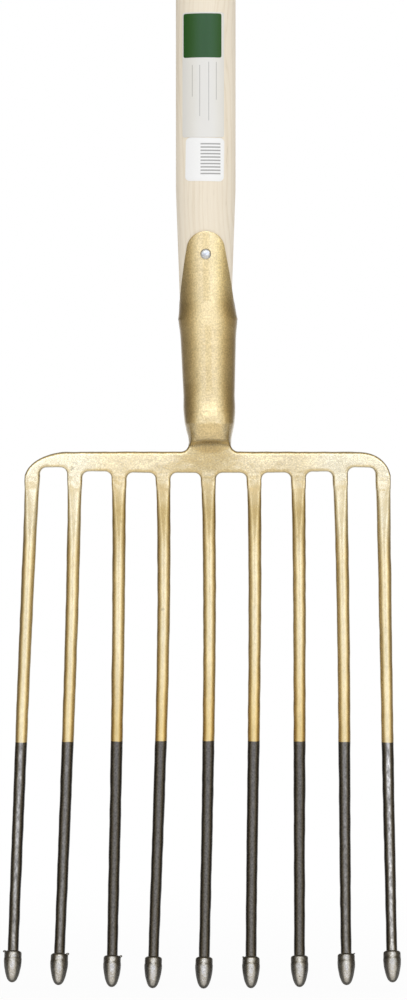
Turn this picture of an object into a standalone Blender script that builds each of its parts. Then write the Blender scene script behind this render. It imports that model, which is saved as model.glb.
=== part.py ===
"""Potato fork: a nine-tine steel head with a rolled socket and knobbed tips, on an ash handle.

The fork stands upright. +Z runs up the handle, the tines point down, and their hollow side faces -Y.
Heights count from the tip of the middle tine, and widths and depths from the handle's axis. Every
piece hangs from one empty, which carries the middle tine's tip to the origin.
All sizes are in metres.
"""

import math

import bmesh
import bpy
from mathutils import Matrix, Vector

# Fits
TOUCH_GAP = 0.0003  # what two pieces that touch keep between them
THROUGH = 0.004  # how far a cutter runs past the piece that it cuts
MERGE_DISTANCE = 1e-6

# Tines
TINE_COUNT = 9
ROOT_PITCH = 0.0296  # spacing at the crossbar
TIP_PITCH = 0.0315  # spacing at the tips, where the tines have spread
ROOT_SHIFT = 0.0010  # how far the row of roots sits to the right of the handle's axis
TIP_SHIFT = -0.0023  # the same for the row of tips
TIP_SWAY = (0.0, -0.0010, 0.0028, -0.0009, 0.0008, 0.0012, 0.0016, 0.0012, 0.0)  # uneven forging
TINE_BOW = (-0.0009, 0.0002, 0.0003, 0.0020, 0.0011, 0.0006, 0.0006, 0.0004, 0.0)  # sideways, midway
TIP_RISE = 0.0056  # how much higher the outermost tips end
ROOT_WIDTH = 0.0101  # the flat root, across
ROOT_ROUNDING = 0.0025
TAPER_WIDTH = 0.0092  # the root a little below the crossbar
TAPER_DROP = 0.0135  # where it has this width
ROUND_DROP = 0.0400  # where the flat root has become a round bar
BAR_DIAMETER = 0.0086
BAR_END_DIAMETER = 0.0070
BACK_SLOPE = 0.035  # the tines start by sloping back
CURVE_RADIUS = 1.055  # then sweep forward on this radius
BAR_STEPS = 8
BAR_ROUNDNESS = 0.92  # corner rounding of a round bar, as a share of its half width

# Knobs
KNOB_LENGTH = 0.0208
KNOB_RADIUS = 0.0059
KNOB_TIP_RADIUS = 0.0015  # the flat at the very tip
KNOB_SHOULDER_RADIUS = 0.0046
KNOB_SHOULDER_HEIGHT = 0.0020
KNOB_WIDEST = 0.70  # share of the length, from the tip, where the knob is widest
KNOB_FULLNESS = 1.15  # above 1, the sides swell sooner behind the tip
KNOB_CHEST = 0.80  # of the way out from the shoulder's radius to the widest, at the chamfer's foot
SPIGOT_RADIUS = 0.0024
SPIGOT_LENGTH = 0.0090

# Crossbar
HEAD_DROP = 0.3562  # from the crossbar's top down to the middle tip
CROSSBAR_HEIGHT = 0.0143
CROSSBAR_THICKNESS = 0.0100
CROSSBAR_SETBACK = 0.0010  # how far behind the handle's axis its middle lies
CROSSBAR_DISH = 0.0120  # how far forward its ends curve
CORNER_RADIUS = 0.0185
GAP_FILLET = 0.0042
OUTER_GAP_RISE = 0.0038  # the outermost gaps reach higher into the crossbar
GAP_RISE_POWER = 4  # how suddenly the gaps get higher towards the ends
ROOT_DROP = 0.0193  # from the crossbar's top to where the tines join on

# Neck and socket
NECK_HEIGHT = 0.0187  # from the crossbar's top to the socket's lower edge
NECK_HALF_WIDTH = 0.0143
NECK_FILLET = 0.0050
NECK_LIP = 0.0065  # height of the lip where the neck meets the crossbar
NECK_ROOT = 0.0044  # how far the neck reaches down inside the crossbar
# Sections of the neck up to its lip: height from its root to its lip, half width against the neck's,
# half depth against half the crossbar's thickness, and squareness
NECK_FOOT_SHAPE = ((0.00, 0.75, 0.70, 3.0), (0.475, 0.94, 1.16, 3.0), (0.893, 1.00, 1.75, 3.0),
                   (1.00, 1.00, 2.15, 2.9))
# Sections from the lip up to the socket's lower edge: height, half width from the neck's to the edge's,
# half depth against the edge's radius, and squareness
NECK_HEAD_SHAPE = ((0.23, 0.06, 0.78, 2.7), (0.617, 0.576, 0.90, 2.4), (1.00, 1.00, 0.98, 2.2))
SOCKET_FLOOR = 0.0062  # from the socket's lower edge up to the inside floor
SOCKET_EDGE_RADIUS = 0.01665
SOCKET_BELLY = 0.0005  # slight swelling round the handle's foot
BELLY_RISE = 0.0031  # from the inside floor up to where it is fullest
BELLY_REACH = 0.0155  # from the inside floor up to where it has gone
FLARE_REACH = 0.0141  # the flare starts this far below the plate's edge
SOCKET_LENGTH = 0.0703  # from the lower edge to where the plate's edge rounds the handle
SOCKET_WALL = 0.0019
SOCKET_FLARE = 0.0005
SOCKET_LEAN = 0.0027  # how far the socket's foot leans to the right
LEAN_REACH = 0.0120  # height above the flare where the lean starts
BACK_DROP = 0.0120  # how much lower the plate's edge lies at the back
SEAM_WIDTH = 0.0030
SEAM_FOOT = 0.0160  # height of the seam's end above the lower edge
TONGUE_LENGTH = 0.0582  # from the flare to the top of the tongue
TONGUE_RADIUS = 0.0127
TONGUE_SIDE_WIDTH = 0.0174  # half width at the height below
TONGUE_SIDE_HEIGHT = 0.0230  # above the flare
TONGUE_ARC_TRIM = 8.0  # degrees short of a half circle at each end of the rounded top

# Socket rivet
RIVET_INSET = 0.0152  # below the top of the tongue
RIVET_RADIUS = 0.0024
RIVET_HEAD_RADIUS = 0.0036
RIVET_HEAD_HEIGHT = 0.0016
WASHER_RADIUS = 0.0065
WASHER_THICKNESS = 0.0012
RIVET_TAIL_RADIUS = 0.0041

# Handle
SHAFT_LENGTH = 0.7110
SHAFT_RADIUS = 0.0200
SHAFT_END_RADIUS = 0.0146
SHAFT_TAPER_LENGTH = 0.1500
SHAFT_FOOT_CHAMFER = 0.0015

# Split grip
GRIP_WIDTH = 0.1120  # outside the arms
ARM_THICKNESS = 0.0180
ARM_DEPTH = 0.0330  # front to back where the arms part
ARM_TOP_DEPTH = 0.0280
ARM_ROUNDING = 0.0065
SPLIT_REACH = 0.1700  # from the handle's top down to where it starts to widen
SPLIT_FOOT_HALF_WIDTH = 0.0080
SPLIT_FOOT_DEPTH_SHARE = 0.55  # the arms' depth there, against where they part
SPLIT_SLICES = (0.0, 0.35, 0.7, 1.0)  # where the split is divided, between its foot and the crotch
BLEND_WIDTH_SHARE = 0.9  # the shaft's last section inside the split, against its radius
BLEND_DEPTH_SHARE = 0.8  # and against half the arms' depth
WIDEN_REACH = 0.1560  # from the top down to where it is as wide as the shaft
ARMS_STRAIGHT_REACH = 0.0520  # from the top down to where the arms run straight
CROTCH_REACH = 0.1080  # from the top down to the crotch
GRIP_INSET = 0.0180  # from the top down to the axis of the grip bar
GRIP_BAR_RADIUS = 0.0140
GRIP_BAR_END_RADIUS = 0.0120
GRIP_BAR_POWER = 4  # how suddenly the grip bar narrows at its ends
GRIP_RIVET_RADIUS = 0.0027
GRIP_HEAD_RADIUS = 0.0048
GRIP_HEAD_HEIGHT = 0.0026
GRIP_WASHER_RADIUS = 0.0075
GRIP_WASHER_THICKNESS = 0.0016
THROAT_BELOW_CROTCH = 0.0170
THROAT_SEAT_HALF_WIDTH = 0.0262  # where the flats for the throat washers are cut

# Labels
LABEL_THICKNESS = 0.0002
LABEL_LEFT = -0.0153
LABEL_RIGHT = 0.0120
LABEL_ABOVE_TONGUE = 0.0625
LABEL_HEIGHT = 0.0830
LABEL_CORNER = 0.0015
STICKER_LEFT = -0.0133
STICKER_RIGHT = 0.0120
STICKER_HEIGHT = 0.0289
STICKER_CORNER = 0.0030
STICKER_TILT = math.radians(1.0)

# How finely round shapes are divided
SOCKET_SIDES = 36
SHAFT_SIDES = 28
TURNED_SIDES = 16
KNOB_SIDES = 12
BAR_SIDES = 20
CORNER_STEPS = 4
OUTLINE_STEPS = 10
KNOB_STEPS = 6
DOME_STEPS = 5
LABEL_STRIPS = 12
RIM_ANGLE = 60.0  # degrees between faces, above which a slab's edge is rounded

# Heights that follow from the sizes above
CROSSBAR_TOP = HEAD_DROP
ROOT_CUT = CROSSBAR_TOP - ROOT_DROP
SOCKET_EDGE = CROSSBAR_TOP + NECK_HEIGHT
SHAFT_FOOT = SOCKET_EDGE + SOCKET_FLOOR + TOUCH_GAP
FLARE = SOCKET_EDGE + SOCKET_LENGTH
LEAN_TOP = FLARE + LEAN_REACH
TONGUE_TOP = FLARE + TONGUE_LENGTH
RIVET_HEIGHT = TONGUE_TOP - RIVET_INSET
SHAFT_TAPER_TOP = SHAFT_FOOT + SHAFT_TAPER_LENGTH
SHAFT_TOP = SHAFT_FOOT + SHAFT_LENGTH
GRIP_HEIGHT = SHAFT_TOP - GRIP_INSET
CROTCH = SHAFT_TOP - CROTCH_REACH
THROAT_HEIGHT = CROTCH - THROAT_BELOW_CROTCH
LABEL_FOOT = TONGUE_TOP + LABEL_ABOVE_TONGUE
STICKER_FOOT = LABEL_FOOT - TOUCH_GAP - STICKER_HEIGHT


# Small helpers

def linear(channel):
    """One sRGB channel, 0 to 255, as a linear value."""
    share = channel / 255.0
    if share <= 0.04045:
        return share / 12.92
    return ((share + 0.055) / 1.055) ** 2.4


def material(name, colour, roughness, metallic=0.0):
    """A plain surface in an sRGB colour."""
    made = bpy.data.materials.new(name)
    made.use_nodes = True
    shader = made.node_tree.nodes["Principled BSDF"]
    shader.inputs["Base Color"].default_value = (*[linear(channel) for channel in colour], 1.0)
    shader.inputs["Roughness"].default_value = roughness
    shader.inputs["Metallic"].default_value = metallic
    return made


def object_from(bm, name, surface=None, smooth_angle=35.0):
    """Turns a bmesh into a named object, with its faces pointing out."""
    bmesh.ops.recalc_face_normals(bm, faces=bm.faces[:])
    if bm.calc_volume(signed=True) < 0.0:
        bmesh.ops.reverse_faces(bm, faces=bm.faces[:])
    mesh = bpy.data.meshes.new(name)
    bm.to_mesh(mesh)
    bm.free()
    mesh.shade_smooth()
    mesh.set_sharp_from_angle(angle=math.radians(smooth_angle))
    made = bpy.data.objects.new(name, mesh)
    bpy.context.scene.collection.objects.link(made)
    if surface:
        mesh.materials.append(surface)
    return made


def as_guide(guide):
    """Marks an object that only shapes others."""
    guide.hide_render = True
    guide.display_type = "WIRE"
    return guide


def combine(target, guide, operation):
    """Adds or cuts the guide's shape."""
    step = target.modifiers.new(guide.name, "BOOLEAN")
    step.operation = operation
    step.solver = "EXACT"
    step.object = as_guide(guide)


def arc(centre, radius, start, end, steps=CORNER_STEPS):
    """Points round a circle in a flat outline, both ends included; angles in degrees."""
    points = []
    for step in range(steps + 1):
        angle = math.radians(start + (end - start) * step / steps)
        points.append((centre[0] + radius * math.cos(angle), centre[1] + radius * math.sin(angle)))
    return points


def smoothed(share):
    """Eases from 0 to 1."""
    held = min(max(share, 0.0), 1.0)
    return held * held * (3.0 - 2.0 * held)


def slab(outline, start, end, across="Y"):
    """A flat outline of (sideways, up) points, extruded from start to end along an axis."""
    bm = bmesh.new()
    if across == "Y":
        corners = [bm.verts.new((side, start, up)) for side, up in outline]
    else:
        corners = [bm.verts.new((start, side, up)) for side, up in outline]
    face = bm.faces.new(corners)
    step = Vector((0.0, end - start, 0.0)) if across == "Y" else Vector((end - start, 0.0, 0.0))
    made = bmesh.ops.extrude_face_region(bm, geom=[face])["geom"]
    moved = [item for item in made if isinstance(item, bmesh.types.BMVert)]
    bmesh.ops.translate(bm, verts=moved, vec=step)
    bmesh.ops.recalc_face_normals(bm, faces=bm.faces[:])
    return bm


def round_rims(bm, offset, segments=2):
    """Rounds the edges where the flat front and back meet the sides of a slab."""
    rims = [edge for edge in bm.edges if edge.calc_face_angle(0.0) > math.radians(RIM_ANGLE)]
    bmesh.ops.bevel(bm, geom=rims, offset=offset, segments=segments, profile=0.5, affect="EDGES")


def slice_at(bm, spots, direction):
    """Cuts edges into the mesh on planes, and keeps both sides."""
    for spot in spots:
        everything = bm.verts[:] + bm.edges[:] + bm.faces[:]
        bmesh.ops.bisect_plane(bm, geom=everything, dist=MERGE_DISTANCE, plane_co=spot, plane_no=direction)


def loft(sections):
    """A solid through closed sections, each a list of as many points."""
    sides = len(sections[0])
    bm = bmesh.new()
    corner = bm.verts.layers.int.new("corner")
    start = bmesh.ops.create_circle(bm, cap_ends=True, radius=1.0, segments=sides)["verts"]
    for index, vert in enumerate(start):
        vert[corner] = index
        vert.co = sections[0][index]
    bm.faces.ensure_lookup_table()
    cap = bm.faces[0]
    foot = cap
    for section in sections[1:]:
        made = bmesh.ops.extrude_face_region(bm, geom=[cap])["geom"]
        if cap is not foot:
            bmesh.ops.delete(bm, geom=[cap], context="FACES_ONLY")
        cap = next(item for item in made if isinstance(item, bmesh.types.BMFace))
        for vert in cap.verts:
            vert.co = section[vert[corner]]
    return bm


def turned(profile, sides=TURNED_SIDES):
    """Spins a profile of (radius, height) points round Z."""
    bm = bmesh.new()
    corners = [bm.verts.new((radius, 0.0, height)) for radius, height in profile]
    line = [bm.edges.new(pair) for pair in zip(corners, corners[1:])]
    bmesh.ops.spin(bm, geom=corners + line, cent=(0.0, 0.0, 0.0), axis=(0.0, 0.0, 1.0),
                   angle=math.tau, steps=sides, use_merge=True)
    bmesh.ops.remove_doubles(bm, verts=bm.verts[:], dist=MERGE_DISTANCE)
    return bm


def turned_ring(profile, sides=TURNED_SIDES):
    """Spins a closed profile, for a piece with a hole right through."""
    return turned(profile + [profile[0]], sides)


def along(direction):
    """A turn that carries +Z to this direction."""
    return Vector(direction).to_track_quat("Z", "Y").to_matrix().to_4x4()


def oval(height, half_width, half_depth, centre, squareness, sides):
    """A level section: round at squareness 2, and squarer above that."""
    points = []
    power = 2.0 / squareness
    for side in range(sides):
        angle = math.tau * side / sides
        across = math.copysign(abs(math.cos(angle)) ** power, math.cos(angle))
        deep = math.copysign(abs(math.sin(angle)) ** power, math.sin(angle))
        points.append(Vector((centre[0] + half_width * across, centre[1] + half_depth * deep, height)))
    return points


def drill(name, radius, start, end):
    """A round cutter from one point to another."""
    reach = Vector(end) - Vector(start)
    bm = turned([(0.0, 0.0), (radius, 0.0), (radius, reach.length), (0.0, reach.length)])
    bmesh.ops.transform(bm, matrix=Matrix.Translation(start) @ along(reach), verts=bm.verts[:])
    return object_from(bm, name)


# Where things lie

def root_x(index):
    """Sideways place of a tine at the crossbar."""
    return ROOT_SHIFT + (index - (TINE_COUNT - 1) / 2) * ROOT_PITCH


def dished(x):
    """Depth of the middle of the crossbar, and of a tine's root, at this width."""
    half_span = (TINE_COUNT - 1) / 2 * ROOT_PITCH
    return CROSSBAR_SETBACK - CROSSBAR_DISH * ((x - ROOT_SHIFT) / half_span) ** 2


def tip_height(index):
    """Height of a tine's tip."""
    middle = (TINE_COUNT - 1) / 2
    return TIP_RISE * ((index - middle) / middle) ** 2


def tine_point(index, drop):
    """A point on a tine's middle line, a drop below where it joins the root."""
    full_drop = ROOT_CUT - tip_height(index)
    share = drop / full_drop
    tip_x = TIP_SHIFT + (index - (TINE_COUNT - 1) / 2) * TIP_PITCH + TIP_SWAY[index]
    x = root_x(index) * (1.0 - share) + tip_x * share + 4.0 * TINE_BOW[index] * share * (1.0 - share)
    y = dished(root_x(index)) + BACK_SLOPE * drop - drop ** 2 / (2.0 * CURVE_RADIUS)
    return Vector((x, y, ROOT_CUT - drop))


def shaft_radius(height):
    """Radius of the handle, which tapers at its foot."""
    share = min(max((height - SHAFT_FOOT) / SHAFT_TAPER_LENGTH, 0.0), 1.0)
    return SHAFT_END_RADIUS + (SHAFT_RADIUS - SHAFT_END_RADIUS) * share


def lean(height):
    """How far the socket and the handle's foot stand to the right at a height."""
    share = (LEAN_TOP - height) / (LEAN_TOP - CROSSBAR_TOP)
    return SOCKET_LEAN * min(max(share, 0.0), 1.0)


def socket_radius(height):
    """Outside radius of the socket's plate."""
    return shaft_radius(height) + TOUCH_GAP + SOCKET_WALL


# Head

def crossbar_outline():
    """Front outline of the roots, the crossbar and the foot of the neck."""
    half = ROOT_WIDTH / 2
    foot = ROOT_CUT - THROUGH
    underside = CROSSBAR_TOP - CROSSBAR_HEIGHT
    outermost_gap = TINE_COUNT / 2 - 1
    points = []
    for index in range(TINE_COUNT):
        middle = root_x(index)
        points += [(middle - half, foot), (middle + half, foot)]
        if index < TINE_COUNT - 1:
            off_centre = abs(index + 1 - TINE_COUNT / 2)
            top = underside + OUTER_GAP_RISE * (off_centre / outermost_gap) ** GAP_RISE_POWER
            next_side = root_x(index + 1) - half
            points += arc((middle + half + GAP_FILLET, top - GAP_FILLET), GAP_FILLET, 180.0, 90.0)
            points += arc((next_side - GAP_FILLET, top - GAP_FILLET), GAP_FILLET, 90.0, 0.0)
    neck = lean(CROSSBAR_TOP)
    left_side = root_x(0) - half
    right_side = root_x(TINE_COUNT - 1) + half
    fillet_height = CROSSBAR_TOP + NECK_FILLET
    stub_top = CROSSBAR_TOP + NECK_HEIGHT / 2
    corner_height = CROSSBAR_TOP - CORNER_RADIUS
    reach = NECK_HALF_WIDTH + NECK_FILLET
    points += arc((right_side - CORNER_RADIUS, corner_height), CORNER_RADIUS, 0.0, 90.0)
    points += arc((neck + reach, fillet_height), NECK_FILLET, 270.0, 180.0)
    points += [(neck + NECK_HALF_WIDTH, stub_top), (neck - NECK_HALF_WIDTH, stub_top)]
    points += arc((neck - reach, fillet_height), NECK_FILLET, 0.0, -90.0)
    points += arc((left_side + CORNER_RADIUS, corner_height), CORNER_RADIUS, 90.0, 180.0)
    return points


def crossbar_form():
    """The crossbar with its nine roots: extruded, rounded, cut level and dished."""
    half = CROSSBAR_THICKNESS / 2
    bm = slab(crossbar_outline(), -half, half)
    round_rims(bm, ROOT_ROUNDING)
    everything = bm.verts[:] + bm.edges[:] + bm.faces[:]
    bmesh.ops.bisect_plane(bm, geom=everything, dist=MERGE_DISTANCE, plane_co=(0.0, 0.0, ROOT_CUT),
                           plane_no=(0.0, 0.0, -1.0), clear_outer=True)
    open_edges = [edge for edge in bm.edges if edge.is_boundary]
    bmesh.ops.holes_fill(bm, edges=open_edges, sides=0)
    sides = []
    for index in range(TINE_COUNT):
        sides += [root_x(index) - ROOT_WIDTH / 2, root_x(index) + ROOT_WIDTH / 2]
    slice_at(bm, [(side, 0.0, 0.0) for side in sides], (1.0, 0.0, 0.0))
    for vert in bm.verts:
        vert.co.y += dished(vert.co.x)
    return bm


def socket_form():
    """Outer shape of the neck and the socket, up to the height of the tongue."""
    root = CROSSBAR_TOP - NECK_ROOT
    lip = CROSSBAR_TOP + NECK_LIP
    floor = SHAFT_FOOT + TOUCH_GAP
    half_bar = CROSSBAR_THICKNESS / 2
    sections = []
    for rise, width, depth, squareness in NECK_FOOT_SHAPE:
        setback = CROSSBAR_SETBACK * (1.0 - rise / 2.0)
        sections.append((root + (lip - root) * rise, NECK_HALF_WIDTH * width, half_bar * depth, setback,
                         squareness))
    for rise, widening, depth, squareness in NECK_HEAD_SHAPE:
        half_width = NECK_HALF_WIDTH + (SOCKET_EDGE_RADIUS - NECK_HALF_WIDTH) * widening
        setback = CROSSBAR_SETBACK * (1.0 - rise) / 2.0
        sections.append((lip + (SOCKET_EDGE - lip) * rise, half_width, SOCKET_EDGE_RADIUS * depth, setback,
                         squareness))
    swellings = (
        (floor + BELLY_RISE, SOCKET_BELLY),
        (floor + BELLY_REACH, 0.0),
        (FLARE - FLARE_REACH, 0.0),
        (FLARE, SOCKET_FLARE),
        (LEAN_TOP, 0.0),
        (TONGUE_TOP + THROUGH, 0.0),
    )
    for height, extra in swellings:
        radius = socket_radius(height) + extra
        sections.append((height, radius, radius, 0.0, 2.0))
    rings = []
    for height, half_width, half_depth, depth, squareness in sections:
        rings.append(oval(height, half_width, half_depth, (lean(height), depth), squareness, SOCKET_SIDES))
    return loft(rings)


def shaft_rings(extra, foot, top):
    """Round sections of the handle, or of the bore for it, from its foot to a height."""
    heights = [foot]
    heights += [height for height in (FLARE, LEAN_TOP, SHAFT_TAPER_TOP) if foot < height < top]
    heights.append(top)
    rings = []
    for height in heights:
        radius = shaft_radius(height) + extra
        rings.append(oval(height, radius, radius, (lean(height), 0.0), 2.0, SHAFT_SIDES))
    return rings


def tongue_cutter():
    """All that lies outside the tongue, on the front half of the socket."""
    past = 2.0 * SHAFT_RADIUS
    crown = TONGUE_TOP - TONGUE_RADIUS
    side = socket_radius(FLARE) + SOCKET_FLARE + TOUCH_GAP
    shoulder = FLARE + TONGUE_SIDE_HEIGHT
    points = [(-past, FLARE), (-side, FLARE), (-TONGUE_SIDE_WIDTH, shoulder)]
    points += arc((0.0, crown), TONGUE_RADIUS, 180.0 - TONGUE_ARC_TRIM, TONGUE_ARC_TRIM,
                  steps=2 * OUTLINE_STEPS)
    points += [(TONGUE_SIDE_WIDTH, shoulder), (side, FLARE), (past, FLARE)]
    points += [(past, TONGUE_TOP + 2.0 * THROUGH), (-past, TONGUE_TOP + 2.0 * THROUGH)]
    return object_from(slab(points, -past, 0.0), "cut_tongue")


def back_cutter():
    """What the plate's edge leaves bare on the back of the handle."""
    past = 2.0 * SHAFT_RADIUS
    slope = BACK_DROP / socket_radius(FLARE)
    points = [(-TOUCH_GAP, FLARE), (past, FLARE - slope * past)]
    points += [(past, TONGUE_TOP + 2.0 * THROUGH), (-TOUCH_GAP, TONGUE_TOP + 2.0 * THROUGH)]
    return object_from(slab(points, -past, past, across="X"), "cut_back")


def seam_cutter():
    """The open seam down the back, wider towards the top."""
    middle = lean(SOCKET_EDGE)
    foot = SOCKET_EDGE + SEAM_FOOT
    points = [(middle - SEAM_WIDTH / 4, foot), (middle + SEAM_WIDTH / 4, foot)]
    points += [(SEAM_WIDTH / 2 + lean(FLARE), FLARE), (lean(FLARE) - SEAM_WIDTH / 2, FLARE)]
    return object_from(slab(points, SHAFT_END_RADIUS / 2, 2.0 * SHAFT_RADIUS), "cut_seam")


def fork_head(surface):
    """One forging: rolled socket with its tongue, neck, crossbar and the flat roots of the tines."""
    head = object_from(crossbar_form(), "fork_head", surface)
    combine(head, object_from(socket_form(), "form_socket"), "UNION")
    bore = loft(shaft_rings(TOUCH_GAP, SHAFT_FOOT - TOUCH_GAP, TONGUE_TOP + 2.0 * THROUGH))
    combine(head, object_from(bore, "cut_handle_bore"), "DIFFERENCE")
    combine(head, tongue_cutter(), "DIFFERENCE")
    combine(head, back_cutter(), "DIFFERENCE")
    combine(head, seam_cutter(), "DIFFERENCE")
    hole = drill("cut_socket_rivet", RIVET_RADIUS + TOUCH_GAP, (0.0, -2.0 * SHAFT_RADIUS, RIVET_HEIGHT),
                 (0.0, 0.0, RIVET_HEIGHT))
    combine(head, hole, "DIFFERENCE")
    return head


# Tines and knobs

def bar_section(centre, direction, half_width, half_depth, rounding):
    """A section square to a direction, with three points round each of its four corners."""
    sideways = Vector((1.0, 0.0, 0.0))
    sideways = (sideways - direction * sideways.dot(direction)).normalized()
    forward = direction.cross(sideways)
    points = []
    for quarter, (across, deep) in enumerate(((1, 1), (-1, 1), (-1, -1), (1, -1))):
        middle = (across * (half_width - rounding), deep * (half_depth - rounding))
        for x, y in arc(middle, rounding, 90.0 * quarter, 90.0 * (quarter + 1), steps=2):
            points.append(centre + sideways * x + forward * y)
    return points


def bar_size(drop, full_drop):
    """Half width, half depth and corner rounding of a tine at a drop below its root."""
    half_depth = CROSSBAR_THICKNESS / 2
    if drop < TAPER_DROP:
        share = drop / TAPER_DROP
        half_width = (ROOT_WIDTH + (TAPER_WIDTH - ROOT_WIDTH) * share) / 2
    elif drop < ROUND_DROP:
        share = (drop - TAPER_DROP) / (ROUND_DROP - TAPER_DROP)
        half_width = (TAPER_WIDTH + (BAR_DIAMETER - TAPER_WIDTH) * share) / 2
    else:
        share = (drop - ROUND_DROP) / (full_drop - ROUND_DROP)
        half_width = (BAR_DIAMETER + (BAR_END_DIAMETER - BAR_DIAMETER) * share) / 2
    flat = max(1.0 - drop / ROUND_DROP, 0.0)
    half_depth = half_width + (half_depth - half_width) * flat
    rounding = ROOT_ROUNDING + (BAR_ROUNDNESS * half_width - ROOT_ROUNDING) * (1.0 - flat)
    return half_width, half_depth, rounding


def tine(index, surface):
    """A round bar that starts flat at the root and ends in a spigot for its knob."""
    tip = tine_point(index, ROOT_CUT - tip_height(index))
    end_drop = ROOT_CUT - tip_height(index) - KNOB_LENGTH
    end = tine_point(index, end_drop)
    seat = tip + (end - tip).normalized() * (KNOB_LENGTH + TOUCH_GAP)
    drops = [TOUCH_GAP, TAPER_DROP, (TAPER_DROP + ROUND_DROP) / 2, ROUND_DROP]
    drops += [ROUND_DROP + (end_drop - ROUND_DROP) * step / BAR_STEPS for step in range(1, BAR_STEPS)]
    rings = []
    for drop in drops:
        centre = tine_point(index, drop)
        ahead = tine_point(index, drop + TOUCH_GAP)
        direction = (centre - ahead).normalized() if drop > TOUCH_GAP else Vector((0.0, 0.0, 1.0))
        rings.append(bar_section(centre, direction, *bar_size(drop, end_drop)))
    axis = (end - tip).normalized()
    rings.append(bar_section(seat, axis, *bar_size(end_drop, end_drop)))
    spigot = (SPIGOT_RADIUS, SPIGOT_RADIUS, BAR_ROUNDNESS * SPIGOT_RADIUS)
    rings.append(bar_section(seat, axis, *spigot))
    rings.append(bar_section(seat - axis * SPIGOT_LENGTH, axis, *spigot))
    return object_from(loft(rings), f"tine_{index + 1}", surface)


def knob_form():
    """A blunt bullet, tip down, with a blind bore from its shoulder for the spigot."""
    bore = SPIGOT_RADIUS + TOUCH_GAP
    floor = KNOB_LENGTH - SPIGOT_LENGTH - TOUCH_GAP
    widest = KNOB_WIDEST * KNOB_LENGTH
    profile = [(0.0, 0.0), (KNOB_TIP_RADIUS, 0.0)]
    for step in range(1, KNOB_STEPS + 1):
        share = step / KNOB_STEPS
        swell = math.sqrt(1.0 - (1.0 - share) ** 2)
        radius = KNOB_TIP_RADIUS + (KNOB_RADIUS - KNOB_TIP_RADIUS) * swell
        profile.append((radius, widest * share ** KNOB_FULLNESS))
    chamfer = KNOB_LENGTH - KNOB_SHOULDER_HEIGHT
    chest = KNOB_SHOULDER_RADIUS + (KNOB_RADIUS - KNOB_SHOULDER_RADIUS) * KNOB_CHEST
    profile += [(chest, chamfer), (KNOB_SHOULDER_RADIUS, KNOB_LENGTH)]
    profile += [(bore, KNOB_LENGTH), (bore, floor), (0.0, floor)]
    return turned(profile, KNOB_SIDES)


def tip_knobs(surface):
    """Nine alike knobs, each in line with the end of its tine."""
    pattern = object_from(knob_form(), "tip_knob_1", surface)
    knobs = [pattern]
    for index in range(1, TINE_COUNT):
        copy = bpy.data.objects.new(f"tip_knob_{index + 1}", pattern.data)
        bpy.context.scene.collection.objects.link(copy)
        knobs.append(copy)
    for index, knob in enumerate(knobs):
        tip = tine_point(index, ROOT_CUT - tip_height(index))
        end = tine_point(index, ROOT_CUT - tip_height(index) - KNOB_LENGTH)
        knob.rotation_mode = "QUATERNION"
        knob.rotation_quaternion = (end - tip).to_track_quat("Z", "Y")
        knob.location = tip
    return knobs


# Handle

def split_outline():
    """Front outline of the handle's split top: two arms that spread from the shaft."""
    outside = GRIP_WIDTH / 2
    inside = outside - ARM_THICKNESS
    straight = SHAFT_TOP - ARMS_STRAIGHT_REACH
    widen = SHAFT_TOP - WIDEN_REACH
    round_top = SHAFT_TOP - ARM_THICKNESS / 2
    half = [(SPLIT_FOOT_HALF_WIDTH, SHAFT_TOP - SPLIT_REACH)]
    narrow = SHAFT_RADIUS + TOUCH_GAP
    for step in range(OUTLINE_STEPS + 1):
        share = step / OUTLINE_STEPS
        half.append((narrow + (outside - narrow) * smoothed(share), widen + (straight - widen) * share))
    half += arc((inside + ARM_THICKNESS / 2, round_top), ARM_THICKNESS / 2, 0.0, 180.0, 2 * CORNER_STEPS)
    for step in range(OUTLINE_STEPS):
        angle = math.pi / 2 * step / OUTLINE_STEPS
        half.append((inside * math.cos(angle), straight - (straight - CROTCH) * math.sin(angle)))
    other = [(-x, z) for x, z in reversed(half)]
    return half + [(0.0, CROTCH)] + other


def split_form():
    """The arms: extruded, rounded, thin where they grow out of the shaft and again towards the top."""
    bm = slab(split_outline(), -ARM_DEPTH / 2, ARM_DEPTH / 2)
    round_rims(bm, ARM_ROUNDING, segments=3)
    widen = SHAFT_TOP - WIDEN_REACH
    spots = [(0.0, 0.0, widen + (CROTCH - widen) * share) for share in SPLIT_SLICES]
    slice_at(bm, spots, (0.0, 0.0, 1.0))
    for vert in bm.verts:
        upper = max((vert.co.z - CROTCH) / CROTCH_REACH, 0.0)
        lower = smoothed((vert.co.z - widen) / (CROTCH - widen))
        vert.co.y *= 1.0 + (ARM_TOP_DEPTH / ARM_DEPTH - 1.0) * upper
        vert.co.y *= SPLIT_FOOT_DEPTH_SHARE + (1.0 - SPLIT_FOOT_DEPTH_SHARE) * lower
    return bm


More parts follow.
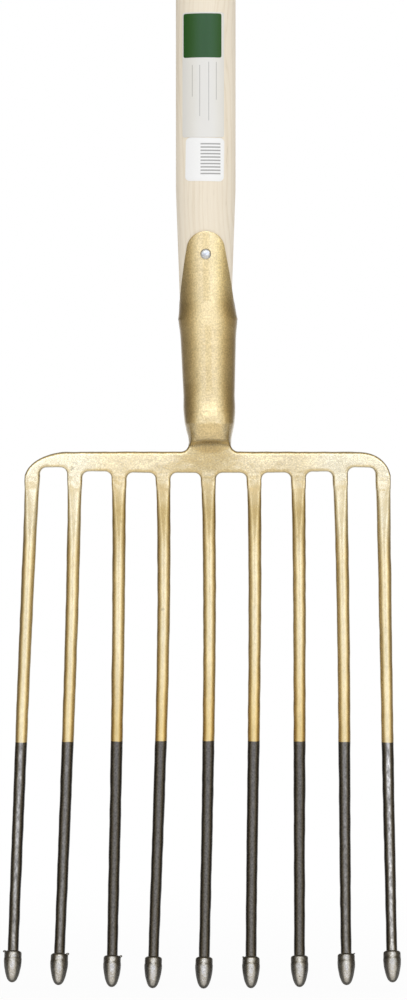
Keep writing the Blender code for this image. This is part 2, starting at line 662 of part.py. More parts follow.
def rivet_holes():
    """The handle's holes: one from front to back, and two across with flats for the throat's washers."""
    reach = GRIP_WIDTH
    narrow = RIVET_RADIUS + TOUCH_GAP
    wide = GRIP_RIVET_RADIUS + TOUCH_GAP
    seat = GRIP_WASHER_RADIUS + 2.0 * TOUCH_GAP
    flat = THROAT_SEAT_HALF_WIDTH
    throat = [(0.0, -reach), (seat, -reach), (seat, -flat), (wide, -flat)]
    throat += [(radius, -height) for radius, height in reversed(throat)]
    grip = [(0.0, -reach), (wide, -reach), (wide, reach), (0.0, reach)]
    front = [(0.0, -reach), (narrow, -reach), (narrow, reach), (0.0, reach)]
    holes = bmesh.new()
    across_then_through = ((throat, THROAT_HEIGHT, "Y"), (grip, GRIP_HEIGHT, "Y"), (front, RIVET_HEIGHT, "X"))
    for profile, height, turned_about in across_then_through:
        one = turned(profile)
        turn = Matrix.Rotation(math.pi / 2, 4, turned_about)
        bmesh.ops.transform(one, matrix=Matrix.Translation((0.0, 0.0, height)) @ turn, verts=one.verts[:])
        spare = bpy.data.meshes.new("spare")
        one.to_mesh(spare)
        one.free()
        holes.from_mesh(spare)
        bpy.data.meshes.remove(spare)
    return holes


def handle_shaft(surface):
    """The ash handle, tapered at its foot and split into two arms at its top."""
    throat = SHAFT_TOP - WIDEN_REACH
    rings = shaft_rings(0.0, SHAFT_FOOT, throat)
    foot_radius = SHAFT_END_RADIUS - SHAFT_FOOT_CHAMFER
    foot = oval(SHAFT_FOOT, foot_radius, foot_radius, (lean(SHAFT_FOOT), 0.0), 2.0, SHAFT_SIDES)
    rings[0] = [point + Vector((0.0, 0.0, SHAFT_FOOT_CHAMFER)) for point in rings[0]]
    merge_height = (throat + CROTCH) / 2
    blend = oval(merge_height, BLEND_WIDTH_SHARE * SHAFT_RADIUS, BLEND_DEPTH_SHARE * ARM_DEPTH / 2,
                 (0.0, 0.0), 2.0, SHAFT_SIDES)
    shaft = object_from(loft([foot] + rings + [blend]), "handle_shaft", surface)
    combine(shaft, object_from(split_form(), "form_split"), "UNION")
    combine(shaft, object_from(rivet_holes(), "cut_rivet_holes"), "DIFFERENCE")
    return shaft


def grip_bar(surface):
    """The turned crosspiece between the arms, bored for its rivet."""
    half = GRIP_WIDTH / 2 - ARM_THICKNESS - TOUCH_GAP
    bore = GRIP_RIVET_RADIUS + TOUCH_GAP
    profile = [(bore, -half)]
    for step in range(OUTLINE_STEPS + 1):
        share = 2.0 * step / OUTLINE_STEPS - 1.0
        radius = GRIP_BAR_RADIUS - (GRIP_BAR_RADIUS - GRIP_BAR_END_RADIUS) * share ** GRIP_BAR_POWER
        profile.append((radius, half * share))
    profile.append((bore, half))
    bar = object_from(turned_ring(profile, BAR_SIDES), "grip_bar", surface)
    bar.rotation_euler = (0.0, math.pi / 2, 0.0)
    bar.location = (0.0, 0.0, GRIP_HEIGHT)
    return bar


# Fasteners

def dome(head_radius, height, shank_radius, seat):
    """Profile of a domed head above its seat, from the shank out and up to the axis."""
    points = [(shank_radius, seat)]
    for step in range(DOME_STEPS):
        angle = math.pi / 2 * step / DOME_STEPS
        points.append((head_radius * math.cos(angle), seat + height * math.sin(angle)))
    points.append((0.0, seat + height))
    return points


def rivet(name, length, shank, head, tail, surface):
    """A shank between two domed ends, its middle at the origin; head and tail are (radius, height)."""
    lower = [(radius, -height) for radius, height in reversed(dome(tail[0], tail[1], shank, length / 2))]
    return object_from(turned(lower + dome(head[0], head[1], shank, length / 2)), name, surface)


def washer(name, inner, outer, thickness, surface):
    """A flat ring with its outer edge eased."""
    ease = thickness / 3
    profile = [(inner, 0.0), (outer, 0.0), (outer, thickness - ease)]
    profile += [(outer - ease, thickness), (inner, thickness)]
    return object_from(turned_ring(profile), name, surface)


def socket_rivet_set(surface):
    """The rivet through tongue and handle, clenched over a washer behind."""
    front = shaft_radius(RIVET_HEIGHT) + TOUCH_GAP + SOCKET_WALL + TOUCH_GAP
    back = shaft_radius(RIVET_HEIGHT) + TOUCH_GAP + WASHER_THICKNESS + TOUCH_GAP
    pin = rivet("socket_rivet", front + back, RIVET_RADIUS, (RIVET_HEAD_RADIUS, RIVET_HEAD_HEIGHT),
                (RIVET_TAIL_RADIUS, RIVET_HEAD_HEIGHT), surface)
    pin.rotation_euler = (math.pi / 2, 0.0, 0.0)
    pin.location = (0.0, (back - front) / 2, RIVET_HEIGHT)
    ring = washer("socket_rivet_washer", RIVET_RADIUS + TOUCH_GAP, WASHER_RADIUS, WASHER_THICKNESS, surface)
    ring.rotation_euler = (-math.pi / 2, 0.0, 0.0)
    ring.location = (0.0, back - TOUCH_GAP - WASHER_THICKNESS, RIVET_HEIGHT)
    return [pin, ring]


def cross_rivet_set(word, height, seat, surface):
    """A rivet across the handle from side to side, over a washer at each end."""
    length = 2.0 * (seat + TOUCH_GAP + GRIP_WASHER_THICKNESS + TOUCH_GAP)
    end = (GRIP_HEAD_RADIUS, GRIP_HEAD_HEIGHT)
    pin = rivet(f"{word}_rivet", length, GRIP_RIVET_RADIUS, end, end, surface)
    pin.rotation_euler = (0.0, math.pi / 2, 0.0)
    pin.location = (0.0, 0.0, height)
    pieces = [pin]
    for side, place in ((-1, "left"), (1, "right")):
        ring = washer(f"{word}_washer_{place}", GRIP_RIVET_RADIUS + TOUCH_GAP, GRIP_WASHER_RADIUS,
                      GRIP_WASHER_THICKNESS, surface)
        ring.rotation_euler = (0.0, side * math.pi / 2, 0.0)
        ring.location = (side * (seat + TOUCH_GAP), 0.0, height)
        pieces.append(ring)
    return pieces


# Labels

def wrapped_sheet(name, left, right, foot, height, corner, tilt, surface):
    """A thin sheet with rounded corners, wrapped on the front of the shaft."""
    top = foot + height
    outline = arc((left + corner, foot + corner), corner, 270.0, 180.0)
    outline += arc((left + corner, top - corner), corner, 180.0, 90.0)
    outline += arc((right - corner, top - corner), corner, 90.0, 0.0)
    outline += arc((right - corner, foot + corner), corner, 0.0, -90.0)
    inner = SHAFT_RADIUS + TOUCH_GAP
    bm = slab(outline, inner + LABEL_THICKNESS, inner)
    middle = Vector(((left + right) / 2, 0.0, (foot + top) / 2))
    turn = Matrix.Translation(middle) @ Matrix.Rotation(tilt, 4, "Y") @ Matrix.Translation(-middle)
    bmesh.ops.transform(bm, matrix=turn, verts=bm.verts[:])
    width = right - left
    spots = [(left + width * step / LABEL_STRIPS, 0.0, 0.0) for step in range(1, LABEL_STRIPS)]
    slice_at(bm, spots, (1.0, 0.0, 0.0))
    for vert in bm.verts:
        angle = math.asin(max(min(vert.co.x / SHAFT_RADIUS, 1.0), -1.0))
        radius = vert.co.y
        vert.co.x = radius * math.sin(angle)
        vert.co.y = -radius * math.cos(angle)
    return object_from(bm, name, surface)


# Assembly

def build():
    """Makes every piece and hangs them all from one empty."""
    for old in list(bpy.data.objects):
        bpy.data.objects.remove(old, do_unlink=True)
    gold = material("gold_paint", (222, 200, 140), 0.38, 0.3)
    steel = material("dark_steel", (85, 80, 72), 0.45, 0.8)
    knob_steel = material("satin_steel", (150, 147, 135), 0.42, 0.9)
    zinc = material("rivet_steel", (200, 203, 204), 0.28, 1.0)
    ash = material("ash_wood", (240, 230, 210), 0.55)
    film = material("label_film", (235, 230, 222), 0.25)
    paper = material("sticker_paper", (248, 248, 246), 0.6)

    pieces = [fork_head(gold)]
    pieces += [tine(index, steel) for index in range(TINE_COUNT)]
    pieces += tip_knobs(knob_steel)
    pieces += socket_rivet_set(zinc)
    pieces += [handle_shaft(ash), grip_bar(ash)]
    pieces += cross_rivet_set("grip", GRIP_HEIGHT, GRIP_WIDTH / 2, zinc)
    pieces += cross_rivet_set("throat", THROAT_HEIGHT, THROAT_SEAT_HALF_WIDTH, zinc)
    pieces.append(wrapped_sheet("handle_label", LABEL_LEFT, LABEL_RIGHT, LABEL_FOOT, LABEL_HEIGHT,
                                LABEL_CORNER, 0.0, film))
    pieces.append(wrapped_sheet("price_sticker", STICKER_LEFT, STICKER_RIGHT, STICKER_FOOT, STICKER_HEIGHT,
                                STICKER_CORNER, STICKER_TILT, paper))

    stand = bpy.data.objects.new("fork_frame", None)
    bpy.context.scene.collection.objects.link(stand)
    middle_tip = tine_point(TINE_COUNT // 2, ROOT_CUT)
    stand.location = -middle_tip
    for thing in list(bpy.context.scene.collection.objects):
        if thing is not stand:
            thing.parent = stand


if __name__ == "__main__":
    build()
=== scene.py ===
"""Potato fork, dressed: the finish and the fine surfaces of a nine-tine fork on an ash handle.

Every piece is shaped in handle coordinates: heights count from the middle tine's tip, widths and depths
from the handle's axis, +Z runs up the handle and the tines' hollow side faces -Y. A finished mesh is
then carried to the frame. All sizes are in metres.
"""

import math

import bmesh
import bpy
from bpy.props import FloatProperty, FloatVectorProperty, PointerProperty
from mathutils import Matrix, Vector, noise


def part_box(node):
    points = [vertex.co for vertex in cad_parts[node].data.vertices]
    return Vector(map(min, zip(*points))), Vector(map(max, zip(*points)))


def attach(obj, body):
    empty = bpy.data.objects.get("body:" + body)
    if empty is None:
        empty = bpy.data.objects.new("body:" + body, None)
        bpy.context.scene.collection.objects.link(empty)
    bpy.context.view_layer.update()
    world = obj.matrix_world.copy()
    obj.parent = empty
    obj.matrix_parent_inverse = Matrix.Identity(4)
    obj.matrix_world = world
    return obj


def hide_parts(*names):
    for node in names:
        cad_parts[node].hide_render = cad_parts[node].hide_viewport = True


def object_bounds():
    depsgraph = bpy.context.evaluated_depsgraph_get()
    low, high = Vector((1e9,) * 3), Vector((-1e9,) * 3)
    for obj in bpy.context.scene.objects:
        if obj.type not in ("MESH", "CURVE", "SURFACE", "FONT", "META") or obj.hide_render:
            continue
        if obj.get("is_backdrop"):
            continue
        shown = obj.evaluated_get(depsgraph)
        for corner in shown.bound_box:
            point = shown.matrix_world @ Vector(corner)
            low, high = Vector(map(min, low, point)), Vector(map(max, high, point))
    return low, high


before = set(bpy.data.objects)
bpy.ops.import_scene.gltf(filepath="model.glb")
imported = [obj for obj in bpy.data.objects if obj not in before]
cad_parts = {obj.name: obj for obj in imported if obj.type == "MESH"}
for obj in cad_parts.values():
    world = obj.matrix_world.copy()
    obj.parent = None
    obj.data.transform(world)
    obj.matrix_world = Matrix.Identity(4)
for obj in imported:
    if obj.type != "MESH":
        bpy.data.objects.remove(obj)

bl_info = {
    "name": "Potato Fork",
    "version": (1, 0, 0),
    "blender": (4, 5, 0),
    "location": "3D View > Sidebar > Potato Fork",
    "description": "Builds the finished pieces of a potato fork round its packed frame",
    "category": "Object",
}

# Where the handle's axis stands in the frame
GRIP_LOW, GRIP_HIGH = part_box("grip_bar")
AXIS = Vector(((GRIP_LOW.x + GRIP_HIGH.x) / 2, (GRIP_LOW.y + GRIP_HIGH.y) / 2, 0.0))

# Directions and fits
ACROSS = Vector((1.0, 0.0, 0.0))
UP = Vector((0.0, 0.0, 1.0))
TOUCH_GAP = 0.0003
MERGE_DISTANCE = 1e-6
FRONT_MARK = "front"  # attribute that tells how squarely a surface faces front or back, by which the materials paint shade and highlight
FORM_OVERLAP = 0.004  # how far forms run on past a cut, and into each other under one skin
LUMP_SIZE = 0.010  # size of the swells and dips of forged surfaces
FINE_LUMPS = (0.35, 0.3)  # share of their height and of their size that finer ones have

# Tines
TINE_COUNT = 9
MIDDLE = (TINE_COUNT - 1) / 2
ROOT_PITCH = 0.0296
TIP_PITCH = 0.0315
ROOT_SHIFT = 0.0010
TIP_SHIFT = -0.0023
ROOT_SWAY = (0.0013, 0.0, 0.0, 0.0, 0.0008, 0.0019, 0.0020, 0.0004, -0.0007)
TIP_SWAY = (0.0, -0.0010, 0.0028, -0.0016, 0.0008, 0.0008, 0.0016, 0.0012, 0.0)
TINE_BOW = (-0.0009, 0.0002, 0.0003, 0.0008, 0.0011, -0.0001, 0.0001, 0.0, 0.0)  # halfway down
HALFWAY_PEAK = 4.0  # makes share * rest 1 halfway down
UPPER_BOW = (0.0, 0.0005, 0.0005, 0.0015, 0.0008, 0.0013, 0.0007, 0.0012, 0.0003)  # a third down
UPPER_PEAK = 6.75  # makes share * rest ** 2 1 a third down
TIP_RISE = 0.0056
ROOT_WIDTH = 0.0101
ROOT_ROUNDING = 0.0017
TAPER_WIDTH = 0.0092
TAPER_DROP = 0.0135
ROUND_DROP = 0.0400
FLAT_ROUNDINGS = (  # drop below the root, rounding of the flat's edges
    (0.0, 0.0017), (0.0055, 0.0018), (0.0070, 0.0025), (0.0150, 0.0029), (0.0300, 0.0038), (0.0400, 0.0044))
BAR_DIAMETER = 0.0090
BAR_END_DIAMETER = 0.0072
BACK_SLOPE = 0.035
CURVE_RADIUS = 1.055
BAR_SIDES = 32
BAR_STEP = 0.0035
BAR_LAP = 0.0008  # left open for the bridge between root and bar
SEAM_EASE = (0.0012, 0.0020)  # how far below and above that seam the skin is eased
SEAM_ROUNDS = 5

# Knobs
KNOB_LENGTH = 0.0208
KNOB_PROFILE = (  # height above the tip, radius
    (0.0000, 0.0002), (0.0002, 0.0011), (0.0008, 0.0021), (0.0020, 0.0031), (0.0042, 0.0041),
    (0.0075, 0.0050), (0.0115, 0.00568), (0.0148, 0.0059), (0.0155, 0.0059), (0.0163, 0.00574),
    (0.0195, 0.0057), (0.0203, 0.0054), (0.0208, 0.0046))
KNOB_SIDES = 36
KNOB_STEPS = 44
KNOB_STEP_POWER = 1.3  # packs the steps towards the tip
KNOB_LUMP = 0.00009
KNOB_LUMP_SIZE = 0.0032
KNOB_LUMP_SHIFT = 7.3  # gives each knob lumps of its own
KNOB_FLAT = 0.0005  # the flat at the tip stays smooth
SPIGOT_RADIUS = 0.0024
SPIGOT_LENGTH = 0.0090
SPIGOT_PLAY = 0.001  # how much shorter the spigot is than its bore
BURRS = (  # tine, turn round the knob in degrees from the right, size
    (0, 178.0, 0.0011), (1, 10.0, 0.0013), (2, -6.0, 0.0012), (5, 160.0, 0.0007), (7, 24.0, 0.0007))
BURR_HEIGHT = KNOB_LENGTH - 0.0002
BURR_SEAT = KNOB_LENGTH - 0.0010  # the knob's radius here is how far out the burr stands
BURR_LUMPS = (0.5, 0.9)  # how high and how fine the burr's lumps are
BURR_FLATTENING = 0.7

# Crossbar
CROSSBAR_TOP = 0.3562
CROSSBAR_HEIGHT = 0.0143
CROSSBAR_THICKNESS = 0.0100
CROSSBAR_SETBACK = 0.0010
CROSSBAR_DISH = 0.0120
CROSSBAR_TILTS = (  # distance from the middle, slope that turns the bar's face up
    (0.0, -0.030), (0.0130, -0.020), (0.0300, 0.050), (0.1200, 0.055))
CORNER_HEIGHT = 0.0182
LEFT_CORNER_WIDTH = 0.0297
RIGHT_CORNER_WIDTH = 0.0210
GAP_FILLET = 0.0042
OUTER_GAP_RISE = 0.0038
GAP_RISE_POWER = 4
ROOT_CUT = CROSSBAR_TOP - 0.0193
CORNER_STEPS = 24
DISH_STEPS = 48
ROOT_STRETCH = 0.0060  # how far below the root a tine shares the head's own skin
ROOT_LAP = 0.003  # how much further that skin is drawn before it is cut

# Neck and socket
SOCKET_EDGE = CROSSBAR_TOP + 0.0187
NECK_FILLET = 0.0050
NECK_FILLET_AT = 0.0045  # height above the crossbar's top of the width that the fillets run up to
NECK_STUB = 0.002
NECK_FOOT = -0.0044  # where the neck starts, inside the crossbar
NECK_WIDTHS = (  # height above the crossbar's top, half width
    (-0.0044, 0.0107), (0.0008, 0.0134), (0.0045, 0.0142), (0.0093, 0.0145), (0.0140, 0.0156),
    (0.0187, 0.0167))
NECK_FRONTS = (  # the same for the half depth: a scoop, the lip above it, and the slope to the kink
    (-0.0044, 0.0035), (0.0008, 0.0058), (0.0032, 0.0067), (0.0052, 0.0082), (0.0066, 0.0106),
    (0.0077, 0.0134), (0.0093, 0.0148), (0.0140, 0.0172), (0.0187, 0.0188))
NECK_BACKS = (  # and for its back, which runs on without a step
    (-0.0044, 0.0045), (0.0008, 0.0066), (0.0060, 0.0095), (0.0120, 0.0142), (0.0187, 0.0167))
LIP_ARCH = 0.0032  # how much lower the lip runs at its ends
NECK_SQUARENESS = ((-0.0044, 3.0), (0.0066, 2.9), (0.0187, 2.7), (0.0290, 2.4), (0.0450, 2.0))
FRONT_BULGE = ((0.0187, 0.0020), (0.0235, 0.0019), (0.0340, 0.0003), (0.0400, 0.0))
SOCKET_WALL = 0.0019
FLARE = SOCKET_EDGE + 0.0703
SWELLINGS = (  # height above the socket's edge, what the plate stands proud at its sides
    (0.0, 0.0), (0.0100, 0.0005), (0.0200, 0.0), (0.0560, 0.0), (0.0690, 0.0008), (0.0703, 0.0011),
    (0.0716, 0.0009), (0.0800, 0.0))
THINNING = ((0.0660, 0.0), (0.0820, 0.0010))  # what the plate loses towards its tongue
PLATE_SHIFTS = (  # height above the crossbar's top, how much further to the right the head stands there
    (0.0, 0.0003), (0.0187, 0.0004), (0.0500, 0.0007), (0.0890, 0.0011), (0.1010, 0.0007), (0.1300, 0.0))
SOCKET_LEAN = 0.0027
LEAN_TOP = FLARE + 0.0120
BACK_DROP = 0.0120
SEAM_HALF_WIDTHS = (  # height above the socket's edge, half the open seam
    (0.0160, 0.0), (0.0172, 0.0006), (0.0200, 0.0008), (0.0703, 0.0015))
TONGUE_TOP = FLARE + 0.0582
TONGUE_RADIUS = 0.0127
TONGUE_EDGE = (  # half width, height above the flare
    (0.01258, 0.0473), (0.0144, 0.0380), (0.0171, 0.0235), (0.0190, 0.0120), (0.0220, 0.0))
PLATE_FOOT = SOCKET_EDGE + 0.0125  # where the rolled plate takes over from the forged neck
PLATE_LAP = 0.0006  # left open for the bridge between neck and plate
PLATE_COLUMNS = 180
PLATE_ROWS = 80
PLATE_EDGE_ROUNDING = 0.0004
SEAM_TOE = SOCKET_EDGE + 0.0178  # below this the seam is too narrow for rounded edges
HEAD_SIDES = 96
HEAD_STEPS = 56
SKIN_ROUNDS = 4

# Handle
SHAFT_FOOT = SOCKET_EDGE + 0.0062 + TOUCH_GAP
SHAFT_TOP = SHAFT_FOOT + 0.7110
SHAFT_RADIUS = 0.0200
SHAFT_END_RADIUS = 0.0146
SHAFT_TAPER_LENGTH = 0.1500
SHAFT_FOOT_CHAMFER = 0.0015
SHAFT_SIDES = 72
SHAFT_STEP = 0.0150

# Split grip
GRIP_WIDTH = 0.1120
ARM_THICKNESS = 0.0180
ARM_DEPTH = 0.0330
ARM_TOP_DEPTH = 0.0280
ARM_ROUNDING = 0.0070
SPLIT_REACH = 0.1700
SPLIT_FOOT_HALF_WIDTH = 0.0080
SPLIT_FOOT_DEPTH_SHARE = 0.55
SPLIT_STEPS = 12
GRIP_SEAM = SHAFT_TOP - SPLIT_REACH - 0.012  # where the turned shaft takes over from the skinned grip
GRIP_LAP = 0.010
SHAFT_LAP = 0.0012  # left open for the bridge between them
BLEND_RADIUS_SHARE = 0.9  # width and depth of the shaft's end inside the grip
BLEND_DEPTH_SHARE = 0.4
GRIP_ROUNDS = 8
WIDEN_REACH = 0.1560
ARMS_STRAIGHT_REACH = 0.0520
CROTCH = SHAFT_TOP - 0.1080
GRIP_HEIGHT = SHAFT_TOP - 0.0180
GRIP_BAR_RADIUS = 0.0140
GRIP_BAR_END_RADIUS = 0.0120
GRIP_BAR_EASE = 0.0008
GRIP_BAR_STEPS = 30
GRIP_BAR_SIDES = 56
GRIP_BAR_POWER = 4  # of the barrel's curve
THROAT_HEIGHT = CROTCH - 0.0170
THROAT_SEAT_HALF_WIDTH = 0.0262
GRIP_VOXEL = 0.0012
GRIP_SHAPE_STEPS = 26

# Fasteners
RIVET_HEIGHT = TONGUE_TOP - 0.0152
RIVET_RADIUS = 0.0024
RIVET_HEAD_RADIUS = 0.0036
RIVET_HEAD_HEIGHT = 0.0016
RIVET_TAIL_RADIUS = 0.0041
WASHER_RADIUS = 0.0065
WASHER_THICKNESS = 0.0012
CROSS_RIVET_RADIUS = 0.0027
CROSS_HEAD_RADIUS = 0.0048
CROSS_HEAD_HEIGHT = 0.0026
CROSS_WASHER_RADIUS = 0.0075
CROSS_WASHER_THICKNESS = 0.0016
TURNED_SIDES = 40
DOME_STEPS = 12
DOME_RIM = 0.97  # share of the head's radius that its rim keeps where it sits
DOME_FOOT = 0.12  # share of the head's height that is its upright rim
DOME_POWER = 0.85  # flatter than a ball
WASHER_EDGE = 0.3  # share of the edge's easing where the middle of its curve lies

# Labels on the front of the shaft; a sheet is its left, right, foot, height and corner radius
LABEL_FOOT = TONGUE_TOP + 0.0625
LABEL_SHEET = (-0.0153, 0.0120, LABEL_FOOT, 0.0830, 0.0015)
PANEL_SHEET = (-0.0146, 0.0103, LABEL_FOOT + 0.0529, 0.0293, 0.0013)
STICKER_SHEET = (-0.0133, 0.0120, LABEL_FOOT - TOUCH_GAP - 0.0289, 0.0289, 0.0030)
STICKER_TILT = math.radians(1.0)
LABEL_THICKNESS = 0.0002
PANEL_THICKNESS = 0.00006
LABEL_STRIPS = 40
HAIRLINE_WIDTH = 0.00035
HAIRLINES = (  # sideways place, foot and top above the label's foot
    (0.0070, 0.0250, 0.0500), (0.0020, 0.0110, 0.0500), (-0.0040, 0.0140, 0.0480),
    (-0.0090, 0.0270, 0.0480))
HAIRLINE_INK = 0.55
RULE_PITCH = 0.0022
RULE_SHARE = 0.42
RULE_INK = 0.62
RULES_SIDES = (-0.0035, 0.0098)
RULES_ENDS = (0.0040, 0.0252)  # above the sticker's foot

# Forged, cast and zinc skins: flakes, patches and pits per metre
SCALE_NAMES = ("Flake Scale", "Patch Scale", "Pit Scale")
FORGED_SCALES = (900.0, 26.0, 75.0)
CAST_SCALES = (1150.0, 200.0, 420.0)
ZINC_SCALES = (1200.0, 420.0, 300.0)

# Tones: shares of a finish's own colour, mostly where an effect is least and where it is most; those that
# follow how squarely a surface faces are painted shade and highlight
WHITE = (1.0, 1.0, 1.0)
GOLD_PATCHES = (0.90, 1.06)
GOLD_PITS = 0.30
HEAD_SPECKLE = 0.19  # how far the enamel's flakes stray from its colour
TINE_SPECKLE = 0.10
LACQUER_FLAKES = (0.58, 1.50)
LACQUER_SHADE_AND_HIGHLIGHT = (0.60, 1.0, 0.46, 1.22)  # squareness of the surface, then the tones there: painted shade at the sides, a painted highlight where it faces front
# bright streaks in the lacquer, kept to where it faces front as a painted highlight
LACQUER_STREAK_HIGHLIGHT = 2.0
LACQUER_STREAK_HIGHLIGHT_SIDES = (0.80, 1.0, 0.0, 0.45)  # squareness, then the share of the painted highlight streaks there
# bare steel where the lacquer is rubbed, made bright as a painted highlight
WORN_STEEL_HIGHLIGHT = 2.7
KNOB_FLAKES = (0.70, 1.10)
# squareness of the surface, then the tones there: painted shade at the knob's sides, a painted highlight
# down its middle
KNOB_SHADE_AND_HIGHLIGHT = (0.84, 0.985, 0.40, 1.90)
KNOB_PITS = 0.25
ZINC_PATCHES = (0.62, 1.0)
ASH_CLOUDS = (1.0, 0.955)
ASH_EFFECTS = (("Late", 0.42, 1.0), ("Fibre", 0.22, 0.95), ("Pores", 0.30, 0.55))  # share, tone
FILM_CLOUDS = (0.97, 1.03)
PANEL_STREAKS = (0.90, 1.12)
PAPER_FIBRES = (0.97, 1.0)

# Painted shade and painted highlight in the enamel, and other tones of it: shares of the enamel's colour,
# and where each starts and ends
EDGE_SHADE = (0.60, 0.52, 0.33)  # painted shade where the enamel faces sideways
EDGE_SHADE_REACH = (0.22, 0.93)
TONGUE_FACING = (FLARE - 0.004, FLARE + 0.020, 0.0, 0.80)  # the round tongue counts as facing front, so the painted edge shade spares it
BAR_PAINT = (0.93, 0.92, 0.89)  # on the crossbar
BAR_REACH = (ROOT_CUT, ROOT_CUT + 0.006)
ROOT_SHADE = (0.80, 0.75, 0.60)  # painted shade below the inner roots
ROOT_SHADE_REACH = (ROOT_CUT - 0.005, ROOT_CUT - 0.020)
PALE_HIGHLIGHT = (1.02, 1.09, 1.27)  # painted highlight on the outer roots
PALE_HIGHLIGHT_REACH = (0.066, 0.082)  # sideways
ROOT_SHADE_AND_HIGHLIGHT_REACH = (ROOT_CUT - 0.052, ROOT_CUT - 0.026)  # both the painted shade and the painted highlight fade out down the tines
NECK_FOOT_SHADE = (0.80, 0.77, 0.68)  # painted shade at the neck's foot
NECK_FOOT_SHADE_REACH = (0.011, 0.026)
NECK_FOOT_SHADE_SPOT = (AXIS.x + SOCKET_LEAN, AXIS.y, CROSSBAR_TOP)
POCKET_SHADE = (0.80, 0.77, 0.70)  # painted shade under the neck's lip
POCKET_SHADE_REACH = (0.0050, 0.0105)
POCKET_SQUASH = 1.75  # how much wider than high the pocket is
POCKET_SHADE_SPOT = (AXIS.x + SOCKET_LEAN, 0.0, POCKET_SQUASH * (CROSSBAR_TOP + 0.0034))
SOCKET_WARMTH = (0.96, 0.93, 0.84)  # on the socket
SOCKET_REACH = (CROSSBAR_TOP + 0.008, SOCKET_EDGE)
TONGUE_HIGHLIGHT = (1.22, 1.26, 1.24)  # painted highlight on the tongue's right side
TONGUE_HIGHLIGHT_REACH = (FLARE + 0.004, FLARE + 0.024)
TONGUE_HIGHLIGHT_SIDE = (AXIS.x + 0.001, AXIS.x + 0.011)
LOW_SHADE = (0.90, 0.80, 0.56)  # painted shade on the inner tines just above the dip line
LOW_SHADE_REACH = (0.070, 0.008)  # above the dip line
LOW_SHADE_SIDES = (0.070, 0.110, 1.0, 0.25)  # sideways, and the share of it there

# Dip line, and wear of the lacquer that doubles as a painted highlight
DIP_RAGGEDNESS = 0.0009
DIP_EDGE = (0.0007, 0.0002)  # above the dip line
WEAR_HIGHLIGHT_SIDES = (0.084, 0.124)  # sideways: the outer tines are worn and carry the painted highlight
WEAR_HIGHLIGHT_RIGHT = (AXIS.x - 0.10, AXIS.x + 0.10, 0.60, 1.0)  # and the right ones more, as a painted highlight from the right
WEAR_HIGHLIGHT_FACING = (0.90, 0.995)

# Stage
FLOOR_HALF_SIZE = 2.5
FLOOR_COLOUR = (0.9, 0.9, 0.9)
FLOOR_SHADE = 0.06  # share of the floor under the fork that takes light and shadow before the camera
FLOOR_SHADE_REACH = (0.16, 0.55)
FLOOR_MIRROR_START = (0.02, -0.10)  # depth where the floor turns white in the metal
FLOOR_MIRROR_COLOUR = (1.12, 1.04, 0.92)
FLOOR_MIRROR_WIDTH = 0.25
FLOOR_MIRROR_SPREAD = (1.05, 0.65)
PLAIN_LEVELS = (0.83, 0.63)  # light on matt surfaces from the front and from the back
FRONT_COLOUR = (1.45, 1.56, 1.98)
WORLD_BANDS = (  # direction along Y, colour of the light: front, warm sides, back
    (-1.0, FRONT_COLOUR), (-0.84, (1.44, 1.50, 1.62)), (-0.64, (1.10, 1.03, 0.86)),
    (-0.36, (0.62, 0.50, 0.31)), (-0.05, (0.29, 0.24, 0.16)), (0.60, (0.24, 0.21, 0.17)),
    (0.82, (0.36, 0.33, 0.29)), (1.0, WHITE))
HOLE_COLOUR = (0.95, 0.90, 0.78)  # below the camera, between the lights
HOLE_EDGE = (0.20, 0.25)  # direction sideways
HOLE_TOP = (-0.04, 0.03)  # direction up
LOW_LEVEL = (1.0, 1.38)  # brighter low down, beside the camera
LOW_REACH = (-0.01, -0.06)  # direction up
HIGH_LEVEL = (0.12, 0.34, 1.0, 0.76)  # dimmer higher up: direction up, then levels
TOP_LEVEL = (0.45, 0.75, 1.0, 1.50)  # and brighter overhead
SIDE_LEVELS = (-0.9, 0.9, 0.88, 1.14)  # direction sideways, then levels on the left and the right
KEY_PLACE = Vector((0.0, -1.75, 1.20))
KEY_AIM = Vector((0.0, 0.0, 0.40))
KEY_SIZE = (1.70, 0.45)
KEY_POWER = 5.5


def linear(red, green, blue):
    """An sRGB colour, 0 to 255, as linear values."""
    shares = (channel / 255.0 for channel in (red, green, blue))
    return tuple(s / 12.92 if s <= 0.04045 else ((s + 0.055) / 1.055) ** 2.4 for s in shares)


# Settings that a user would change

def colour(name, description, srgb):
    """A colour setting whose default is an sRGB colour."""
    return FloatVectorProperty(name=name, description=description, subtype="COLOR", size=3,
                               min=0.0, max=1.0, default=linear(*srgb))


def length(name, description, default):
    """A length setting."""
    return FloatProperty(name=name, description=description, default=default, min=0.0,
                         subtype="DISTANCE", unit="LENGTH", precision=5)


class ForkFinish(bpy.types.PropertyGroup):
    """Colours of the fork's finishes."""
    gold: colour("Gold enamel", "Paint of the head and the upper tines", (217, 200, 157))
    lacquer: colour("Dark lacquer", "Dip on the lower tines", (76, 72, 65))
    knob: colour("Knob steel", "Satin steel of the knobs", (153, 150, 143))
    zinc: colour("Zinc", "Rivets and washers", (206, 209, 211))
    ash: colour("Ash", "Wood of the handle", (247, 236, 216))
    ash_late: colour("Late wood", "Darker lines of the handle's grain", (224, 207, 180))
    film: colour("Label film", "Clear label over the wood", (230, 228, 222))
    panel: colour("Label panel", "Printed panel at the label's top", (33, 82, 30))
    paper: colour("Sticker", "White paper sticker", (250, 250, 249))
    ink: colour("Ink", "Plain rules on the label and the sticker", (70, 66, 64))


class ForkShape(bpy.types.PropertyGroup):
    """Sizes of the fork's surface detail."""
    dip_height: length("Dip line", "Height of the line where the gold stops", 0.1622)
    head_voxel: length("Head grain", "Grid that the forged head is skinned on", 0.0006)
    unevenness: length("Unevenness", "How far the forged surfaces swell and dip", 0.00022)


